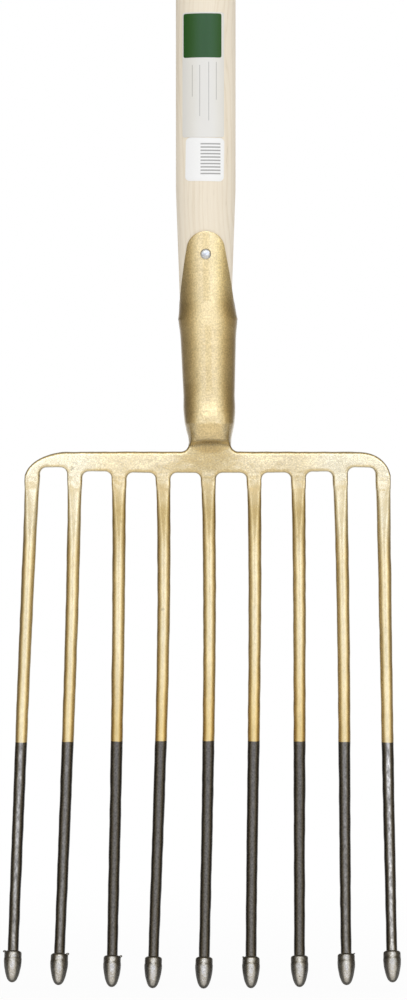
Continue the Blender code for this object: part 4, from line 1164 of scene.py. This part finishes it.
def crossbar_form():
    """The crossbar with its roots: extruded, rounded and dished."""
    half = CROSSBAR_THICKNESS / 2
    bm = slab(crossbar_outline(), -half, half)
    round_rims(bm, ROOT_ROUNDING, segments=3, above=ROOT_CUT + TOUCH_GAP)
    bmesh.ops.triangulate(bm, faces=[face for face in bm.faces if len(face.verts) > 4])
    reach = root_x(TINE_COUNT - 1) + ROOT_WIDTH
    slice_at(bm, spread(-reach, reach, DISH_STEPS), ACROSS)
    underside = CROSSBAR_TOP - CROSSBAR_HEIGHT
    for vert in bm.verts:
        tilt = through(CROSSBAR_TILTS, abs(vert.co.x - ROOT_SHIFT))
        vert.co.y += dished(vert.co.x) + tilt * max(vert.co.z - underside, 0.0) ** 2 / CROSSBAR_HEIGHT
    return bm


def flatness(drop):
    """1 at a tine's root and 0 from where it is round."""
    return clamped(1.0 - drop / ROUND_DROP)


def bar_size(drop, full_drop):
    """Half width, half depth and corner rounding of a tine at a drop below its root."""
    widths = ((0.0, ROOT_WIDTH), (TAPER_DROP, TAPER_WIDTH), (ROUND_DROP, BAR_DIAMETER),
              (full_drop, BAR_END_DIAMETER))
    half_width = through([(at, width / 2) for at, width in widths], drop)
    half_depth = half_width + (CROSSBAR_THICKNESS / 2 - half_width) * flatness(drop)
    return half_width, half_depth, min(through(FLAT_ROUNDINGS, drop), half_width)


def bar_section(centre, direction, size, slope=0.0):
    """A section square to a direction: a rounded rectangle, or a circle; the slope skews it."""
    half_width, half_depth, rounding = size
    forward = direction.cross(ACROSS).normalized()
    sideways = forward.cross(direction) + forward * slope
    points = []
    for quarter, (across, deep) in enumerate(((1, 1), (-1, 1), (-1, -1), (1, -1))):
        middle = (across * (half_width - rounding), deep * (half_depth - rounding))
        corner = arc(middle, rounding, 90.0 * quarter, 90.0 * (quarter + 1), BAR_SIDES // 4 - 1)
        points += [centre + sideways * x + forward * y for x, y in corner]
    return points


def tine_rings(index, start, end, full_drop):
    """Sections of a tine from one drop to another."""
    count = max(2, round((end - start) / BAR_STEP))
    rings = []
    for drop in spread(start, end, count):
        centre = tine_point(index, drop)
        direction = (centre - tine_point(index, drop + TOUCH_GAP)).normalized()
        slope = turn_in(root_x(index)) * flatness(drop)
        rings.append(bar_section(centre, direction, bar_size(max(drop, 0.0), full_drop), slope))
    return rings


def shank_drop(index):
    """How far below its root a tine meets its knob."""
    return ROOT_CUT - tip_height(index) - KNOB_LENGTH


def forged_skin(shape):
    """The forging in one skin: crossbar, neck, socket's foot and the tops of the tines."""
    bm = crossbar_form()
    rings = []
    for height in spread(CROSSBAR_TOP + NECK_FOOT, PLATE_FOOT + FORM_OVERLAP, HEAD_STEPS):
        setback = Vector((0.0, CROSSBAR_SETBACK * down_neck(height), 0.0))
        rings.append([head_point(height, math.tau * side / HEAD_SIDES) + setback
                      for side in range(HEAD_SIDES)])
    join(bm, loft(rings))
    for index in range(TINE_COUNT):
        join(bm, loft(tine_rings(index, -FORM_OVERLAP, ROOT_STRETCH + ROOT_LAP, shank_drop(index))))
    skin = skinned(bm, shape.head_voxel, SKIN_ROUNDS)
    roughen(skin, shape.unevenness, PLATE_FOOT - FORM_OVERLAP)
    return skin


def plate_top(angle):
    """Height of the rolled plate's edge at an angle from the front."""
    radius = shaft_radius(FLARE) + TOUCH_GAP + SOCKET_WALL
    side = abs(math.sin(angle))
    if math.cos(angle) <= 0.0:
        return FLARE + BACK_DROP * math.cos(angle)
    across = side * radius
    if across <= TONGUE_EDGE[0][0]:
        return TONGUE_TOP - TONGUE_RADIUS + math.sqrt(TONGUE_RADIUS ** 2 - across ** 2)
    inner, outer = TONGUE_EDGE[-2][0], TONGUE_EDGE[-1][0]
    if across > inner:
        across = inner + (across - inner) * (outer - inner) / (radius - inner)
    return FLARE + through(TONGUE_EDGE, across)


def plate_form():
    """The rolled plate with its tongue, seam, bore and floor, open below where it meets the neck."""
    bm = bmesh.new()
    for side_of, foot in ((head_point, PLATE_FOOT + PLATE_LAP), (bore_point, SHAFT_FOOT - TOUCH_GAP)):
        made = bmesh.ops.create_grid(bm, x_segments=PLATE_COLUMNS, y_segments=PLATE_ROWS, size=1.0)["verts"]
        for vert in made:
            across, up = vert.co.x, (vert.co.y + 1.0) / 2.0
            top = plate_top(math.pi * across)
            height = foot + (top - foot) * up
            seam = through(SEAM_HALF_WIDTHS, height - SOCKET_EDGE) / (shaft_radius(height) + SOCKET_WALL)
            vert.co = side_of(height, across * (math.pi - seam))
    return weld(bm)


def open_rims(bm):
    """The open rims of a mesh, each a list of edges, the lowest first."""
    left = set(open_edges(bm))
    rims = []
    while left:
        grown = [left.pop()]
        rim = []
        while grown:
            edge = grown.pop()
            rim.append(edge)
            for vert in edge.verts:
                for other in vert.link_edges:
                    if other in left:
                        left.remove(other)
                        grown.append(other)
        rims.append(rim)
    return sorted(rims, key=lambda rim: min(vert.co.z for edge in rim for vert in edge.verts))


def socket_plate():
    """The rolled plate, with its rim closed and eased; only the outer foot stays open."""
    bm = plate_form()
    floor, _, first, second = open_rims(bm)
    made = bmesh.ops.bridge_loops(bm, edges=first + second)["faces"]
    close_up(bm, floor)
    rims = {edge for face in made for edge in face.edges
            if any(other not in made for other in edge.link_faces)
            and min(vert.co.z for vert in edge.verts) > SEAM_TOE}
    bmesh.ops.bevel(bm, geom=list(rims), offset=PLATE_EDGE_ROUNDING, segments=2, profile=0.5,
                    affect="EDGES", material=-1, clamp_overlap=True)
    for slit in open_rims(bm)[1:]:  # left by the bevel at the flare's two points
        close_up(bm, slit)
    return bm


def head_piece(skin, surface):
    """The finished head: the forged skin above the roots' cut, and the rolled plate."""
    cut_away(skin, ROOT_CUT, -UP)
    cut_away(skin, PLATE_FOOT, UP, close=False)
    join(skin, socket_plate())
    bridge(skin)
    mark_front(skin)
    return piece_from(skin, "fork_head_forging", surface, ["fork_head"])


# Tines and knobs

def tine_piece(index, skin, shape, surface):
    """One tine: its flat root from the head's skin, then a round bar down to its spigot."""
    bm = skin.copy()
    far = [vert for vert in bm.verts if abs(vert.co.x - root_x(index)) > ROOT_PITCH / 2
           or vert.co.z > ROOT_CUT + FORM_OVERLAP]
    bmesh.ops.delete(bm, geom=far, context="VERTS")
    cut_away(bm, ROOT_CUT - TOUCH_GAP / 10, UP)
    seam = ROOT_CUT - ROOT_STRETCH
    cut_away(bm, seam, -UP, close=False)
    full = shank_drop(index)
    tip = tine_point(index, ROOT_CUT - tip_height(index))
    axis = (tine_point(index, full) - tip).normalized()
    seat = tip + axis * (KNOB_LENGTH - TOUCH_GAP)
    rings = tine_rings(index, ROOT_STRETCH + BAR_LAP, full - BAR_STEP, full)
    rings.append(bar_section(seat, axis, bar_size(full, full)))
    for along in (0.0, SPIGOT_LENGTH - SPIGOT_PLAY):
        rings.append(bar_section(seat - axis * along, axis, (SPIGOT_RADIUS,) * 3))
    bar = loft(rings, open_start=True)
    roughen(bar, shape.unevenness)
    join(bm, bar)
    bridge(bm)
    below, above = SEAM_EASE
    beside = [vert for vert in bm.verts if seam - below < vert.co.z < seam + above]
    for _ in range(SEAM_ROUNDS):
        bmesh.ops.smooth_vert(bm, verts=beside, factor=0.5, use_axis_x=True, use_axis_y=True)
    mark_front(bm)
    return piece_from(bm, f"tine_{index + 1}_bar", surface, [f"tine_{index + 1}"])


def knob_form():
    """A blunt bullet, tip down, with a blind bore from its shoulder for the spigot."""
    bore = SPIGOT_RADIUS + TOUCH_GAP
    floor = KNOB_LENGTH - SPIGOT_LENGTH
    profile = [(0.0, 0.0)]
    for share in spread(0.0, 1.0, KNOB_STEPS):
        height = KNOB_LENGTH * share ** KNOB_STEP_POWER
        profile.append((through(KNOB_PROFILE, height), height))
    profile += [(bore, KNOB_LENGTH), (bore, floor), (0.0, floor)]
    return turned(profile, KNOB_SIDES)


def burr(size, turn):
    """A crumb of flash left at a knob's shoulder."""
    height, fineness = BURR_LUMPS
    bm = bmesh.new()
    bmesh.ops.create_icosphere(bm, subdivisions=2, radius=size)
    for vert in bm.verts:
        vert.co *= 1.0 + height * noise.noise(vert.co / size * fineness)
        vert.co.z *= BURR_FLATTENING
    radius = through(KNOB_PROFILE, BURR_SEAT)
    carry(bm, Matrix.Translation((-radius * math.cos(turn), radius * math.sin(turn), BURR_HEIGHT)))
    return bm


def knob_piece(index, surface):
    """A knob in line with the end of its tine, with its burr if it has one."""
    bm = knob_form()
    for owner, degrees, size in BURRS:
        if owner == index:
            join(bm, burr(size, math.radians(degrees)))
    bm.normal_update()
    for vert in bm.verts:
        spot = vert.co / KNOB_LUMP_SIZE + Vector((KNOB_LUMP_SHIFT * index, 0.0, 0.0))
        if vert.co.xy.length > SPIGOT_RADIUS + 2.0 * TOUCH_GAP and vert.co.z > KNOB_FLAT:
            vert.co += vert.normal * KNOB_LUMP * noise.noise(spot)
    tip = tine_point(index, ROOT_CUT - tip_height(index))
    end = tine_point(index, shank_drop(index))
    turn = (end - tip).to_track_quat("Z", "Y").to_matrix().to_4x4()
    carry(bm, Matrix.Translation(tip) @ turn)
    mark_front(bm, level=True)
    return piece_from(bm, f"knob_{index + 1}", surface, [f"tip_knob_{index + 1}"],
                      smooth_angle=50.0)


# Handle

def shaft_ring(height, radius):
    """A level ring of the handle."""
    angles = [math.tau * side / SHAFT_SIDES for side in range(SHAFT_SIDES)]
    return [Vector((lean(height) + radius * math.cos(angle), radius * math.sin(angle), height))
            for angle in angles]


def split_outline():
    """Front outline of the handle's split top: two arms that spread from the shaft."""
    outside = GRIP_WIDTH / 2
    inside = outside - ARM_THICKNESS
    straight = SHAFT_TOP - ARMS_STRAIGHT_REACH
    widen = SHAFT_TOP - WIDEN_REACH
    narrow = SHAFT_RADIUS + TOUCH_GAP
    half = [(SPLIT_FOOT_HALF_WIDTH, SHAFT_TOP - SPLIT_REACH)]
    for share in spread(0.0, 1.0, GRIP_SHAPE_STEPS):
        half.append((narrow + (outside - narrow) * smoothed(share), widen + (straight - widen) * share))
    round_top = SHAFT_TOP - ARM_THICKNESS / 2
    half += arc((inside + ARM_THICKNESS / 2, round_top), ARM_THICKNESS / 2, 0.0, 180.0, 16)
    for angle in spread(0.0, math.pi / 2, GRIP_SHAPE_STEPS)[:-1]:
        half.append((inside * math.cos(angle), straight - (straight - CROTCH) * math.sin(angle)))
    return half + [(0.0, CROTCH)] + [(-x, z) for x, z in reversed(half)]


def split_form():
    """The arms: extruded, rounded, thin where they grow out of the shaft and again towards the top."""
    bm = slab(split_outline(), -ARM_DEPTH / 2, ARM_DEPTH / 2)
    round_rims(bm, ARM_ROUNDING, segments=5)
    widen = SHAFT_TOP - WIDEN_REACH
    slice_at(bm, spread(widen, CROTCH, SPLIT_STEPS), UP)
    for vert in bm.verts:
        upper = max((vert.co.z - CROTCH) / (SHAFT_TOP - CROTCH), 0.0)
        lower = smoothed((vert.co.z - widen) / (CROTCH - widen))
        vert.co.y *= 1.0 + (ARM_TOP_DEPTH / ARM_DEPTH - 1.0) * upper
        vert.co.y *= SPLIT_FOOT_DEPTH_SHARE + (1.0 - SPLIT_FOOT_DEPTH_SHARE) * lower
    return bm


def throat_seats():
    """Cutters for the flats that the throat's washers sit on."""
    reach = GRIP_WIDTH
    radius = CROSS_WASHER_RADIUS + 2.0 * TOUCH_GAP
    turn = Matrix.Rotation(math.pi / 2, 4, "Y")
    bm = bmesh.new()
    for side in (-1.0, 1.0):
        made = bmesh.ops.create_cone(bm, cap_ends=True, segments=TURNED_SIDES, radius1=radius,
                                     radius2=radius, depth=reach)["verts"]
        place = Matrix.Translation((side * (THROAT_SEAT_HALF_WIDTH + reach / 2), 0.0, THROAT_HEIGHT))
        bmesh.ops.transform(bm, matrix=place @ turn, verts=made)
    return bm


def handle_piece(surface):
    """The ash handle: a clean turned shaft, with its split top skinned in one and joined on."""
    widen = SHAFT_TOP - WIDEN_REACH
    stub = [shaft_ring(height, SHAFT_RADIUS) for height in (GRIP_SEAM - GRIP_LAP, widen)]
    blend_height = (widen + CROTCH) / 2
    blend = [Vector((BLEND_RADIUS_SHARE * SHAFT_RADIUS * point.x, BLEND_DEPTH_SHARE * ARM_DEPTH * point.y,
                     blend_height)) for point in shaft_ring(blend_height, 1.0)]
    grip = skinned(join(split_form(), loft(stub + [blend])), GRIP_VOXEL, GRIP_ROUNDS)
    grip = without(grip, throat_seats())
    cut_away(grip, GRIP_SEAM, -UP, close=False)
    rings = [shaft_ring(SHAFT_FOOT, SHAFT_END_RADIUS - SHAFT_FOOT_CHAMFER),
             shaft_ring(SHAFT_FOOT + SHAFT_FOOT_CHAMFER, SHAFT_END_RADIUS)]
    count = round((GRIP_SEAM - SHAFT_FOOT) / SHAFT_STEP)
    rings += [shaft_ring(height, shaft_radius(height))
              for height in spread(SHAFT_FOOT, GRIP_SEAM - SHAFT_LAP, count)[1:]]
    shaft = loft(rings, open_end=True)
    join(shaft, grip)
    bridge(shaft)
    return piece_from(shaft, "ash_handle", surface, ["handle_shaft"])


def grip_bar_piece(surface):
    """The turned crosspiece between the arms, barrel-shaped, bored for its rivet."""
    half = GRIP_WIDTH / 2 - ARM_THICKNESS - TOUCH_GAP
    bore = CROSS_RIVET_RADIUS + TOUCH_GAP
    end_radius = GRIP_BAR_END_RADIUS - GRIP_BAR_EASE
    profile = [(bore, -half), (end_radius, -half)]
    for share in spread(-1.0, 1.0, GRIP_BAR_STEPS):
        radius = GRIP_BAR_RADIUS - (GRIP_BAR_RADIUS - GRIP_BAR_END_RADIUS) * share ** GRIP_BAR_POWER
        profile.append((radius, (half - GRIP_BAR_EASE) * share))
    profile += [(end_radius, half), (bore, half), (bore, -half)]
    bm = turned(profile, GRIP_BAR_SIDES)
    turn = Matrix.Translation((0.0, 0.0, GRIP_HEIGHT)) @ Matrix.Rotation(math.pi / 2, 4, "Y")
    carry(bm, turn)
    return piece_from(bm, "grip_crosspiece", surface, ["grip_bar"])


# Fasteners

def dome(head_radius, height, shank_radius, seat):
    """Profile of a domed head above its seat, from the shank out and up to the axis."""
    points = [(shank_radius, seat), (head_radius * DOME_RIM, seat)]
    for angle in spread(0.0, math.pi / 2, DOME_STEPS)[:-1]:
        rise = DOME_FOOT + (1.0 - DOME_FOOT) * math.sin(angle)
        points.append((head_radius * math.cos(angle) ** DOME_POWER, seat + height * rise))
    points.append((0.0, seat + height))
    return points


def rivet_form(length, shank, head, tail):
    """A shank between two domed ends along Z, its middle at the origin; ends are (radius, height)."""
    lower = [(radius, -height) for radius, height in reversed(dome(*tail, shank, length / 2))]
    return turned(lower + dome(*head, shank, length / 2))


def washer_form(inner, outer, thickness):
    """A flat ring with its upper edge eased."""
    ease = thickness / 3
    corner = WASHER_EDGE * ease
    profile = [(inner, 0.0), (outer, 0.0), (outer, thickness - ease), (outer - corner, thickness - corner),
               (outer - ease, thickness), (inner, thickness), (inner, 0.0)]
    return turned(profile)


def placed(bm, degrees, axis, place, name, node, surface):
    """Turns and places a fastener and finishes it."""
    turn = Matrix.Rotation(math.radians(degrees), 4, axis)
    carry(bm, Matrix.Translation(place) @ turn)
    return piece_from(bm, name, surface, [node], smooth_angle=35.0)


def socket_rivet_set(surface):
    """The rivet through tongue and handle, clenched over a washer behind."""
    radius = shaft_radius(RIVET_HEIGHT) + TOUCH_GAP
    front = -head_point(RIVET_HEIGHT, 0.0).y + TOUCH_GAP / 3
    back = radius + WASHER_THICKNESS + TOUCH_GAP
    pin = rivet_form(front + back, RIVET_RADIUS, (RIVET_HEAD_RADIUS, RIVET_HEAD_HEIGHT),
                     (RIVET_TAIL_RADIUS, RIVET_HEAD_HEIGHT))
    placed(pin, 90.0, "X", (0.0, (back - front) / 2, RIVET_HEIGHT), "tongue_rivet", "socket_rivet", surface)
    ring = washer_form(RIVET_RADIUS + TOUCH_GAP, WASHER_RADIUS, WASHER_THICKNESS)
    placed(ring, -90.0, "X", (0.0, back - TOUCH_GAP - WASHER_THICKNESS, RIVET_HEIGHT), "tongue_washer",
           "socket_rivet_washer", surface)


def cross_rivet_set(word, height, seat, surface):
    """A rivet across the handle from side to side, over a washer at each end."""
    end = (CROSS_HEAD_RADIUS, CROSS_HEAD_HEIGHT)
    length_between = 2.0 * (seat + TOUCH_GAP + CROSS_WASHER_THICKNESS + TOUCH_GAP)
    pin = rivet_form(length_between, CROSS_RIVET_RADIUS, end, end)
    placed(pin, 90.0, "Y", (0.0, 0.0, height), f"{word}_pin", f"{word}_rivet", surface)
    for side, place in ((-1, "left"), (1, "right")):
        ring = washer_form(CROSS_RIVET_RADIUS + TOUCH_GAP, CROSS_WASHER_RADIUS, CROSS_WASHER_THICKNESS)
        placed(ring, side * 90.0, "Y", (side * (seat + TOUCH_GAP), 0.0, height), f"{word}_ring_{place}",
               f"{word}_washer_{place}", surface)


# Labels

def wrapped_sheet(sheet, inner, thickness, tilt=0.0):
    """A thin sheet with rounded corners, wrapped on the front of the shaft."""
    left, right, foot, height, corner = sheet
    top = foot + height
    low, high = foot + corner, top - corner
    near, far = left + corner, right - corner
    outline = []
    for quarter, middle in enumerate(((near, low), (near, high), (far, high), (far, low))):
        outline += arc(middle, corner, 270.0 - 90.0 * quarter, 180.0 - 90.0 * quarter)
    bm = slab(outline, inner + thickness, inner)
    middle = Vector(((left + right) / 2, 0.0, (foot + top) / 2))
    turn = Matrix.Translation(middle) @ Matrix.Rotation(tilt, 4, "Y") @ Matrix.Translation(-middle)
    carry(bm, turn)
    slice_at(bm, spread(left, right, LABEL_STRIPS)[1:-1], ACROSS)
    for vert in bm.verts:
        angle = math.asin(max(min(vert.co.x / SHAFT_RADIUS, 1.0), -1.0))
        vert.co = Vector((vert.co.y * math.sin(angle), -vert.co.y * math.cos(angle), vert.co.z))
    return bm


# Floor, world and light

def seen_through(tree, path):
    """1 where the camera looks, straight or through something clear."""
    return combined(tree, "MAXIMUM", path["Is Camera Ray"], path["Is Transmission Ray"])


def floor_paint():
    """White to the camera far off, and taking light and shadow under the fork."""
    made, tree, shader, place = new_material("pale_floor")
    tree.nodes.remove(shader)
    axes = axes_of(tree, place)
    path = add(tree, "ShaderNodeLightPath").outputs
    matt = add(tree, "ShaderNodeBsdfDiffuse", {"Color": FLOOR_COLOUR})
    tone = mixed(tree, path["Is Glossy Ray"], WHITE, FLOOR_MIRROR_COLOUR)
    white = add(tree, "ShaderNodeEmission", {"Color": tone, "Strength": 1.0})
    distance = apart(tree, place, (AXIS.x, AXIS.y, 0.0))
    plain = ranged(tree, distance, *FLOOR_SHADE_REACH, 1.0 - FLOOR_SHADE, 1.0)
    aside = combined(tree, "DIVIDE", combined(tree, "ABSOLUTE", axes["X"]),
                     combined(tree, "SUBTRACT", FLOOR_MIRROR_WIDTH, axes["Y"]))
    mirrored = product(tree, path["Is Glossy Ray"], ranged(tree, axes["Y"], *FLOOR_MIRROR_START),
                       ranged(tree, aside, *FLOOR_MIRROR_SPREAD))
    thrown = combined(tree, "MAXIMUM", path["Is Diffuse Ray"], mirrored)
    share = combined(tree, "MAXIMUM", product(tree, seen_through(tree, path), plain), thrown)
    both = add(tree, "ShaderNodeMixShader", {0: share, 1: matt.outputs[0], 2: white.outputs[0]})
    tree.links.new(both.outputs[0], tree.nodes["Material Output"].inputs["Surface"])
    return made


def floor_piece():
    """A plain pale floor under the lowest tip."""
    bm = bmesh.new()
    bmesh.ops.create_grid(bm, x_segments=1, y_segments=1, size=FLOOR_HALF_SIZE)
    low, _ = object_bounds()
    carry(bm, Matrix.Translation(UP * low.z))
    mesh = mesh_of(bm, "floor")
    mesh.materials.append(floor_paint())
    linked("floor", mesh)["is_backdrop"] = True


def studio_world(scene):
    """White to the camera, plain light on matt surfaces, and in the metal a bright front and warm sides."""
    scene.world = bpy.data.worlds.new("studio")
    scene.world.use_nodes = True
    tree = scene.world.node_tree
    tree.nodes.clear()
    axes = axes_of(tree, add(tree, "ShaderNodeTexCoord").outputs["Generated"])
    across = combined(tree, "ABSOLUTE", axes["X"])
    ramp = add(tree, "ShaderNodeValToRGB", {"Fac": ranged(tree, axes["Y"], -1.0, 1.0)})
    stops = ramp.color_ramp.elements
    for _ in WORLD_BANDS[2:]:
        stops.new(1.0)
    for stop, (place, colour) in zip(stops, WORLD_BANDS):
        stop.position = (place + 1.0) / 2.0
        stop.color = (*(part / full for part, full in zip(colour, FRONT_COLOUR)), 1.0)
    beside = ranged(tree, across, *HOLE_EDGE)
    clear = combined(tree, "MAXIMUM", beside, ranged(tree, axes["Z"], *HOLE_TOP))
    around = scaled(tree, ramp.outputs["Color"], mixed(tree, clear, HOLE_COLOUR, FRONT_COLOUR))
    low = product(tree, ranged(tree, axes["Z"], *LOW_REACH), beside)
    aside = ranged(tree, axes["X"], *SIDE_LEVELS)
    level = product(tree, ranged(tree, axes["Z"], *HIGH_LEVEL), between(tree, low, *LOW_LEVEL),
                    ranged(tree, axes["Z"], *TOP_LEVEL), aside)
    plain = product(tree, ranged(tree, axes["Y"], -1.0, 1.0, *PLAIN_LEVELS), aside)
    path = add(tree, "ShaderNodeLightPath").outputs
    lit = mixed(tree, path["Is Diffuse Ray"], tint_of(tree, around, level), plain)
    light = add(tree, "ShaderNodeBackground", {"Color": mixed(tree, seen_through(tree, path), lit, WHITE)})
    add(tree, "ShaderNodeOutputWorld", {"Surface": light.outputs[0]})


def key_light():
    """One broad soft light above the camera."""
    light = bpy.data.lights.new("key", "AREA")
    light.shape = "RECTANGLE"
    light.size, light.size_y = KEY_SIZE
    light.energy = KEY_POWER
    holder = linked("key", light)
    holder.location = KEY_PLACE
    holder.rotation_euler = (KEY_AIM - KEY_PLACE).to_track_quat("-Z", "Y").to_euler()


# Operators

class FORK_OT_head(bpy.types.Operator):
    """Make the forged head and its nine tines"""
    bl_idname = "potato_fork.head"
    bl_label = "Head and Tines"

    def execute(self, context):
        finish, shape = context.scene.potato_fork_finish, context.scene.potato_fork_shape
        skin = forged_skin(shape)
        dipped = dipped_enamel(finish, shape.dip_height)
        for index in range(TINE_COUNT):
            tine_piece(index, skin, shape, dipped)
        head_piece(skin, gold_enamel(finish))
        return {"FINISHED"}


class FORK_OT_knobs(bpy.types.Operator):
    """Make the nine knobs"""
    bl_idname = "potato_fork.knobs"
    bl_label = "Knobs"

    def execute(self, context):
        surface = cast_steel(context.scene.potato_fork_finish)
        for index in range(TINE_COUNT):
            knob_piece(index, surface)
        return {"FINISHED"}


class FORK_OT_handle(bpy.types.Operator):
    """Make the ash handle with its split top"""
    bl_idname = "potato_fork.handle"
    bl_label = "Handle"

    def execute(self, context):
        handle_piece(ash_wood(context.scene.potato_fork_finish, "ash_lengthways"))
        return {"FINISHED"}


class FORK_OT_grip_bar(bpy.types.Operator):
    """Make the turned grip bar"""
    bl_idname = "potato_fork.grip_bar"
    bl_label = "Grip Bar"

    def execute(self, context):
        surface = ash_wood(context.scene.potato_fork_finish, "ash_crossways", (0.0, math.pi / 2, 0.0))
        grip_bar_piece(surface)
        return {"FINISHED"}


class FORK_OT_fasteners(bpy.types.Operator):
    """Make the rivets and their washers"""
    bl_idname = "potato_fork.fasteners"
    bl_label = "Rivets and Washers"

    def execute(self, context):
        surface = bright_zinc(context.scene.potato_fork_finish)
        socket_rivet_set(surface)
        cross_rivet_set("grip", GRIP_HEIGHT, GRIP_WIDTH / 2, surface)
        cross_rivet_set("throat", THROAT_HEIGHT, THROAT_SEAT_HALF_WIDTH, surface)
        return {"FINISHED"}


class FORK_OT_labels(bpy.types.Operator):
    """Make the plain label, its panel and the sticker"""
    bl_idname = "potato_fork.labels"
    bl_label = "Labels"

    def execute(self, context):
        finish = context.scene.potato_fork_finish
        skin = SHAFT_RADIUS + TOUCH_GAP / 3
        film = wrapped_sheet(LABEL_SHEET, skin, LABEL_THICKNESS)
        piece_from(film, "label_sheet", label_film(finish), ["handle_label"])
        panel = wrapped_sheet(PANEL_SHEET, skin + LABEL_THICKNESS, PANEL_THICKNESS)
        piece_from(panel, "label_colour_panel", label_panel(finish), ["handle_label"])
        paper = wrapped_sheet(STICKER_SHEET, skin, LABEL_THICKNESS, STICKER_TILT)
        piece_from(paper, "paper_sticker", sticker_paper(finish), ["price_sticker"])
        return {"FINISHED"}


class FORK_OT_stage(bpy.types.Operator):
    """Make the floor, the studio's light and the camera"""
    bl_idname = "potato_fork.stage"
    bl_label = "Stage"

    def execute(self, context):
        stage = context.scene.potato_fork_stage
        floor_piece()
        studio_world(context.scene)
        key_light()
        camera = linked("camera", bpy.data.cameras.new("camera"))
        camera.data.lens = stage.lens
        camera.location = (0.0, AXIS.y - stage.camera_distance, stage.camera_height)
        camera.rotation_euler = (math.pi / 2 - stage.camera_pitch, 0.0, 0.0)
        context.scene.camera = camera
        context.scene.view_settings.view_transform = "Standard"
        return {"FINISHED"}


class FORK_PT_pieces(bpy.types.Panel):
    """Lists the steps that build the fork"""
    bl_idname = "FORK_PT_pieces"
    bl_label = "Potato Fork"
    bl_space_type = "VIEW_3D"
    bl_region_type = "UI"
    bl_category = "Potato Fork"

    def draw(self, context):
        for operator in OPERATORS:
            self.layout.operator(operator.bl_idname)
        for settings in SETTINGS:
            box = self.layout.box()
            group = getattr(context.scene, settings)
            for name in group.__annotations__:
                box.prop(group, name)


OPERATORS = (FORK_OT_head, FORK_OT_knobs, FORK_OT_handle, FORK_OT_grip_bar, FORK_OT_fasteners,
             FORK_OT_labels, FORK_OT_stage)
SETTINGS = {"potato_fork_finish": ForkFinish, "potato_fork_shape": ForkShape,
            "potato_fork_stage": ForkStage}


def register():
    for group in SETTINGS.values():
        bpy.utils.register_class(group)
    for name, group in SETTINGS.items():
        setattr(bpy.types.Scene, name, PointerProperty(type=group))
    for operator in OPERATORS:
        bpy.utils.register_class(operator)
    bpy.utils.register_class(FORK_PT_pieces)


def unregister():
    bpy.utils.unregister_class(FORK_PT_pieces)
    for operator in reversed(OPERATORS):
        bpy.utils.unregister_class(operator)
    for name, group in SETTINGS.items():
        delattr(bpy.types.Scene, name)
        bpy.utils.unregister_class(group)


def main():
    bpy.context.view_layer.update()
    register()
    for operator in OPERATORS:
        name = operator.bl_idname.split(".")[1]
        getattr(bpy.ops.potato_fork, name)()


if __name__ == "__main__":
    main()
